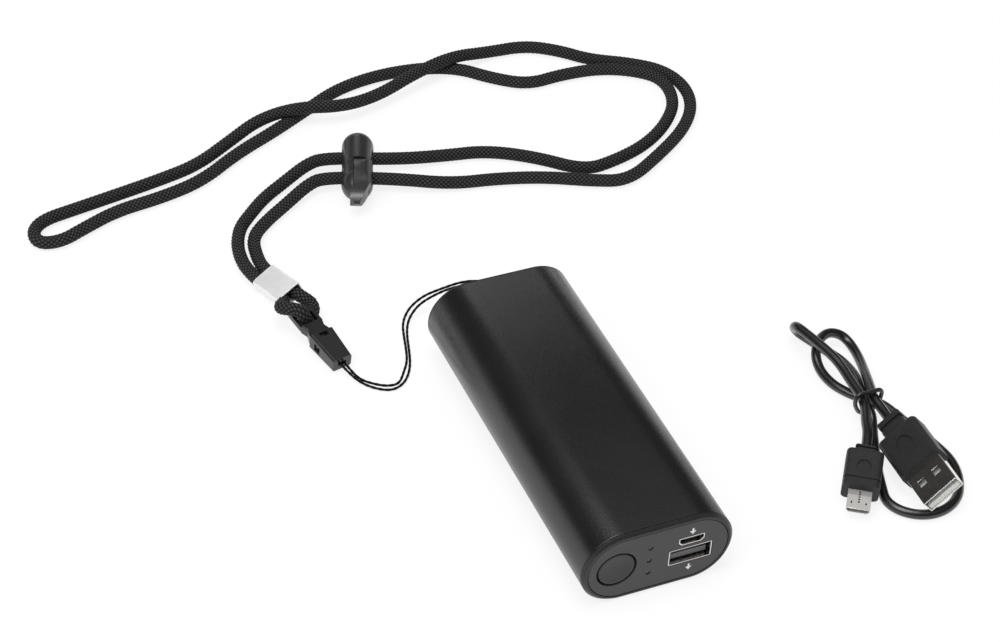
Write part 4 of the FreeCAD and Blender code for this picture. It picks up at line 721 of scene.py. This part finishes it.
# %% Carry the wall around the stadium
def stadium(half_flat, radius, per_end, per_flat):
    """Outline points and outward directions: two half circles joined by two flats, in X and Z."""
    bend = np.linspace(-math.pi / 2, math.pi / 2, per_end)
    level = np.linspace(half_flat, -half_flat, per_flat)[1:-1]
    right = np.column_stack([half_flat + radius * np.cos(bend), radius * np.sin(bend)])
    top = np.column_stack([level, np.full_like(level, radius)])
    outline = np.concatenate([right, top, -right, -top])
    right_way = np.column_stack([np.cos(bend), np.sin(bend)])
    top_way = np.column_stack([np.zeros_like(level), np.ones_like(level)])
    outward = np.concatenate([right_way, top_way, -right_way, -top_way])
    return outline, outward


def carried_wall(profile, outline, outward, rise):
    """point = outline - inset * outward, at the profile's own place along Y."""
    inset = profile[:, 1][:, None, None]
    flat = outline[None] - inset * outward[None]
    along = np.broadcast_to(profile[:, 0][:, None], flat.shape[:2])
    return np.stack([flat[..., 0], along, flat[..., 1] + rise], axis=-1)


def rounded_corner(center, radius, start, steps):
    """A quarter circle of profile points about a centre, from a start angle, in degrees."""
    angle = np.radians(np.linspace(start, start + 90, steps))
    return np.column_stack([center[0] + radius * np.cos(angle), center[1] - radius * np.sin(angle)])


def wall_profile(low, high, wall, edge, steps=5):
    """A wall's section as (along, inset) points: its two outer edges are quarter circles."""
    return np.concatenate([
        rounded_corner((high - edge, edge), edge, 0, steps)[::-1],
        [(high, wall), (low, wall)],
        rounded_corner((low + edge, edge), edge, 90, steps)[::-1],
    ])


wall_crease = 40
tube_wall = 1.4 * MM
tube_edge = 0.25 * MM
points_per_end = 49
points_per_flat = 14
tube_low, tube_high = (np.array(corner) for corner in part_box("casing_tube"))
tube_radius = (tube_high[2] - tube_low[2]) / 2
tube_half_flat = (tube_high[0] - tube_low[0]) / 2 - tube_radius
tube_outline, tube_outward = stadium(tube_half_flat, tube_radius, points_per_end, points_per_flat)
tube_profile = wall_profile(tube_low[1], tube_high[1], tube_wall, tube_edge)
casing_grid = carried_wall(tube_profile, tube_outline, tube_outward, tube_radius)
casing_mesh = grid_mesh("casing_shell", casing_grid, closed_rows=True, crease=wall_crease)
add_piece("casing_shell", casing_mesh, finishes["casing"], "warmer", "casing", "casing_tube")

# %% [markdown]
# ## The clamp
# The bright clamp is a short length of plated strip, folded round both strands and pressed flat. Its
# section is a rounded oblong, which one formula gives, and a thin wall is carried around it as for the
# casing. Two pressed strands seldom lie level, so the clamp leans to the left.

# %% Fold the clamp
def oblong(half_width, half_height, power, columns):
    """Points with |x / a| ^ power + |z / b| ^ power = 1, and its gradient as the outward directions."""
    angle = np.linspace(0, 2 * math.pi, columns, endpoint=False)
    across = np.sign(np.cos(angle)) * np.abs(np.cos(angle)) ** (2 / power)
    level = np.sign(np.sin(angle)) * np.abs(np.sin(angle)) ** (2 / power)
    outward = np.column_stack([np.sign(across) * np.abs(across) ** (power - 1) / half_width,
                               np.sign(level) * np.abs(level) ** (power - 1) / half_height])
    outward /= np.linalg.norm(outward, axis=1, keepdims=True)
    return np.column_stack([across * half_width, level * half_height]), outward


def set_down(grid, place, heading, pitch, roll):
    """Turns a piece that lies along Y to a heading, a pitch and a roll in degrees, and moves it."""
    turn = Matrix.Rotation(math.radians(heading - 90), 3, "Z")
    turn = turn @ Matrix.Rotation(math.radians(pitch), 3, "X")
    turn = turn @ Matrix.Rotation(math.radians(roll), 3, "Y")
    return grid @ np.array(turn).T + np.array(place)


clamp_half_length = 6.8 * MM
clamp_half_width = 4.4 * MM
clamp_half_height = 2.55 * MM
clamp_squareness = 7.0
clamp_columns = 96
clamp_wall = 0.45 * MM
clamp_edge = 0.15 * MM
clamp_place = np.array((-56.3, 94.75, 4.35)) * MM
clamp_heading = -73.4
clamp_pitch = 8.0
clamp_roll = 20.0
clamp_outline, clamp_outward = oblong(clamp_half_width, clamp_half_height, clamp_squareness, clamp_columns)
clamp_profile = wall_profile(-clamp_half_length, clamp_half_length, clamp_wall, clamp_edge)
clamp_grid = carried_wall(clamp_profile, clamp_outline, clamp_outward, 0.0)
clamp_grid = set_down(clamp_grid, clamp_place, clamp_heading, clamp_pitch, clamp_roll)
clamp_mesh = grid_mesh("clamp_band", clamp_grid, closed_rows=True, crease=wall_crease)
clamp = add_piece("clamp_band", clamp_mesh, finishes["clamp"], "neck_lanyard", "clamp", "cord_clamp")

# %% [markdown]
# ## The power button
# A button is turned or moulded as a round piece, so a half profile swept about its axis is the whole shape.
# The dish in its face is a shallow bowl, and the rim has a small radius, as a lathe cut gives too. A wider
# flange stays behind the plate and keeps the button in.

# %% Turn the button
def turned_grid(profile, center, columns):
    """point = center + radius * (cos(angle) X + sin(angle) Z), at the profile's place along Y."""
    angle = np.linspace(0, 2 * math.pi, columns, endpoint=False)[None, :]
    along = np.broadcast_to(profile[:, 0][:, None], (len(profile), columns))
    across = profile[:, 1][:, None] * np.cos(angle) + center[0]
    level = profile[:, 1][:, None] * np.sin(angle) + center[1]
    return np.stack([across, along, level], axis=-1)


button_low, button_high = (np.array(corner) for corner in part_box("power_button"))
button_axis = ((button_low[0] + button_high[0]) / 2, (button_low[2] + button_high[2]) / 2)
button_columns = 96
button_crease = 35
flange_width = 1.57 * MM
flange_thickness = 0.8 * MM
dish_border = 0.65 * MM
dish_depth = 0.3 * MM
rim_radius = 0.22 * MM
stem_radius = 1.5 * MM
stem_length = 1.0 * MM
flange_radius = (button_high[0] - button_low[0]) / 2
button_radius = flange_radius - flange_width
dish_radius = button_radius - dish_border
stem_face = button_high[1] - stem_length
flange_face = stem_face - flange_thickness
dish_reach = np.linspace(0, 1, 25)
dish = np.column_stack([button_low[1] + dish_depth * (1 - dish_reach ** 2), dish_reach * dish_radius])
rim_angle = np.radians(np.linspace(90, 0, 7))
rim = np.column_stack([button_low[1] + rim_radius * (1 - np.sin(rim_angle)),
                       button_radius - rim_radius * (1 - np.cos(rim_angle))])
button_profile = np.concatenate([
    dish, rim,
    [(flange_face, button_radius), (flange_face, flange_radius), (stem_face, flange_radius),
     (stem_face, stem_radius), (button_high[1], stem_radius), (button_high[1], 0)],
])
button_grid = turned_grid(button_profile, button_axis, button_columns)
button_mesh = grid_mesh("button_cap", button_grid, crease=button_crease)
add_piece("button_cap", button_mesh, finishes["button"], "power_button", "plate", "power_button")

# %% [markdown]
# ## Copies with softened edges
# Moulded pieces have no knife edges: a tool leaves a radius of a few tenths of a millimetre, and that
# radius catches the light. A copy of the node's mesh is merged, its flat facets are joined, and a small
# bevel rounds what is still sharp. Shading that follows the larger faces then keeps the flats flat.

# %% Soften the moulded pieces
merge_distance = 1e-6
flat_angle = 0.5
sharp_angle = 32.0
bevel_segments = 2


def softened_copy(node, name, body, slot, width):
    """A merged copy of a node's mesh with a bevel of the given width on its sharp edges."""
    work = bmesh.new()
    work.from_mesh(nodes[node].data)
    bmesh.ops.remove_doubles(work, verts=work.verts, dist=merge_distance)
    bmesh.ops.dissolve_limit(work, angle_limit=math.radians(flat_angle), verts=work.verts, edges=work.edges)
    mesh = bpy.data.meshes.new(name)
    work.to_mesh(mesh)
    work.free()
    mesh.shade_smooth()
    mesh.set_sharp_from_angle(angle=math.radians(sharp_angle))
    piece = add_piece(name, mesh, finishes[slot], body, slot, node)
    bevel = piece.modifiers.new("edge_radius", "BEVEL")
    bevel.width = width
    bevel.segments = bevel_segments
    bevel.limit_method = "ANGLE"
    bevel.angle_limit = math.radians(sharp_angle)
    shading = piece.modifiers.new("even_shading", "WEIGHTED_NORMAL")
    shading.keep_sharp = True
    return piece


lock_edge = 0.25 * MM
lever_edge = 0.3 * MM
buckle_edge = 0.2 * MM
cap_edge = 0.12 * MM
plate_edge = 0.06 * MM
thin_edge = 0.08 * MM
large_sleeve_edge = 0.12 * MM
large_grip_edge = 0.25 * MM
small_grip_edge = 0.2 * MM
lock_body = softened_copy("cord_lock_body", "lock_body", "cord_lock", "buckle", lock_edge)
lock_lever = softened_copy("cord_lock_lever", "lock_lever", "cord_lock_lever", "buckle", lever_edge)
buckle_socket = softened_copy("buckle_socket", "buckle_socket_half", "warmer", "buckle", buckle_edge)
buckle_insert = softened_copy("buckle_insert", "buckle_insert_half", "neck_lanyard", "buckle", buckle_edge)
softened_copy("front_cap", "front_rim", "warmer", "cap", cap_edge)
softened_copy("front_plate", "face_plate", "warmer", "plate", plate_edge)
softened_copy("rear_cap", "back_rim", "warmer", "cap", cap_edge)
softened_copy("large_port_shell", "large_mouth", "warmer", "nickel", thin_edge)
softened_copy("small_port_shell", "small_mouth", "warmer", "nickel", thin_edge)
large_sleeve = softened_copy("large_plug_shell", "large_sleeve", "warmer", "nickel", large_sleeve_edge)
small_sleeve = softened_copy("small_plug_shell", "small_sleeve", "warmer", "nickel", thin_edge)
large_grip = softened_copy("large_plug_grip", "large_plug_moulding", "warmer", "grip", large_grip_edge)
small_grip = softened_copy("small_plug_grip", "small_plug_moulding", "warmer", "grip", small_grip_edge)

# %% [markdown]
# ## Two finishes for softened pieces
# The lock gets a finish of its own, paler than the buckle's. The small plug's shell is bent from sheet, so
# it has a seam with a row of stamped dents, and two more where its latches are; the dents are painted shade,
# and the shell's pale diffuse tone is a painted reflection. The dents' places are along and across the plug,
# in millimetres from where it stands and turned as it is.

# %% Finish the lock and the small plug
lock_finish = coat_finish("lock_plastic", (0.018, 0.018, 0.0185), 0.33, 2600.0, 0.15, 0.8)
for piece in (lock_body, lock_lever):
    piece.data.materials[0] = lock_finish.owner

small_plug_place = (69.0, -46.8, 4.9)
small_plug_turn = (0.0, 8.0, -124.0)
seam_dents = [(along, 0.0, 0.28, 0.24) for along in (0.7, 1.6, 2.5, 3.4, 4.3)]
latch_dents = [(4.7, 2.1, 0.4, 0.22), (4.7, -2.1, 0.4, 0.22)]
small_plug_dents = seam_dents + latch_dents
seam_finish = stamped_finish("small_plug_nickel", small_plug_place, small_plug_turn, small_plug_dents)
small_sleeve.data.materials[0] = seam_finish.owner
print("own finishes:", lock_finish.owner.name, seam_finish.owner.name, len(small_plug_dents), "dents")

# %% Cords built
print("four cords built")

# %% [markdown]
# ## The floor
# The picture has a bare white ground. A pale floor under soft light gives it, and the floor's own light
# for camera, mirror and glass rays lifts it to white while the object's shadow still darkens it.

# %% Lay the floor
floor_half = 4.0
floor_drop = 0.02 * MM
paper_shade = 0.95
glow_share = 0.82
floor_mesh = bpy.data.meshes.new("studio_floor")
floor_corners = np.array([(-1, -1, 0), (1, -1, 0), (1, 1, 0), (-1, 1, 0)]) * floor_half
floor_mesh.from_pydata(floor_corners - np.array((0, 0, floor_drop)), [], [(0, 1, 2, 3)])
floor = bpy.data.objects.new("studio_floor", floor_mesh)
bpy.context.scene.collection.objects.link(floor)

floor_finish = new_finish("floor_paper")
paper = floor_finish.node("ShaderNodeBsdfDiffuse", inputs={"Color": paper_shade})
glow = floor_finish.node("ShaderNodeEmission", inputs={"Color": 1.0, "Strength": 1.0})
ray = floor_finish.node("ShaderNodeLightPath", output="Is Camera Ray")
seen = floor_finish.sum("MINIMUM", ray + ray.out("Is Glossy Ray") + ray.out("Is Transmission Ray"), 1.0)
lit = floor_finish.node("ShaderNodeMixShader", inputs={0: seen * glow_share, 1: paper, 2: glow})
floor_finish.feed(floor_finish.tree.nodes["Material Output"].inputs["Surface"], lit)
floor_mesh.materials.append(floor_finish.owner)
print("floor", 2 * floor_half, "m wide")

# %% [markdown]
# ## The room and the lamps
# The camera sees a white room, and dull surfaces get an even grey light from it. Mirrors see it by height:
# white near the floor, dark above and bright again overhead, because black gloss would turn grey under a
# white ceiling. Three soft boxes add the light that has a direction.

# %% Room and lamps
room_fill = 0.6
room_stops = [(0.0, 1.0), (0.09, 0.95), (0.17, 0.14), (0.42, 0.04), (0.66, 0.1), (0.8, 0.15), (0.95, 0.8)]
world = bpy.data.worlds.new("studio_world")
bpy.context.scene.world = world
room = Finish(world)
room_ray = room.node("ShaderNodeLightPath", output="Is Camera Ray")
room_mirrored = room.sum("MINIMUM", room_ray.out("Is Glossy Ray") + room_ray.out("Is Transmission Ray"), 1.0)
room_height = room.node("ShaderNodeSeparateXYZ", inputs={0: room.place("Generated")})
room_shade = room.node("ShaderNodeValToRGB", {"stops": room_stops}, {0: room_height.out("Z")})
room_light = room.blend(room_mirrored, room_fill, room_shade)
room.feed(room.tree.nodes["Background"].inputs["Color"], room.blend(room_ray, room_light, 1.0))
room.feed(room.tree.nodes["Background"].inputs["Strength"], 1.0)


def soft_lamp(name, place, size, power):
    """A square soft box that faces the object."""
    light = bpy.data.lights.new(name, "AREA")
    light.shape = "SQUARE"
    light.size = size
    light.energy = power
    lamp = bpy.data.objects.new(name, light)
    bpy.context.scene.collection.objects.link(lamp)
    away = np.array(place) - lamp_target
    away /= np.linalg.norm(away)
    side = np.cross((0.0, 1.0, 0.0), away)
    side /= np.linalg.norm(side)
    turned = np.column_stack([side, np.cross(away, side), away, place])
    lamp.matrix_world = Matrix([*turned.tolist(), [0, 0, 0, 1]])
    print("lamp", name, power, "W")


lamp_target = np.array((0.0, 0.05, 0.0))
soft_lamp("key_box", (-0.9, -0.3, 1.3), 0.9, 9.0)
soft_lamp("top_box", (-0.15, 0.0, 1.4), 0.6, 7.0)
soft_lamp("back_box", (0.35, 1.4, 0.7), 0.5, 1.0)
bpy.context.scene.view_settings.view_transform = "Standard"
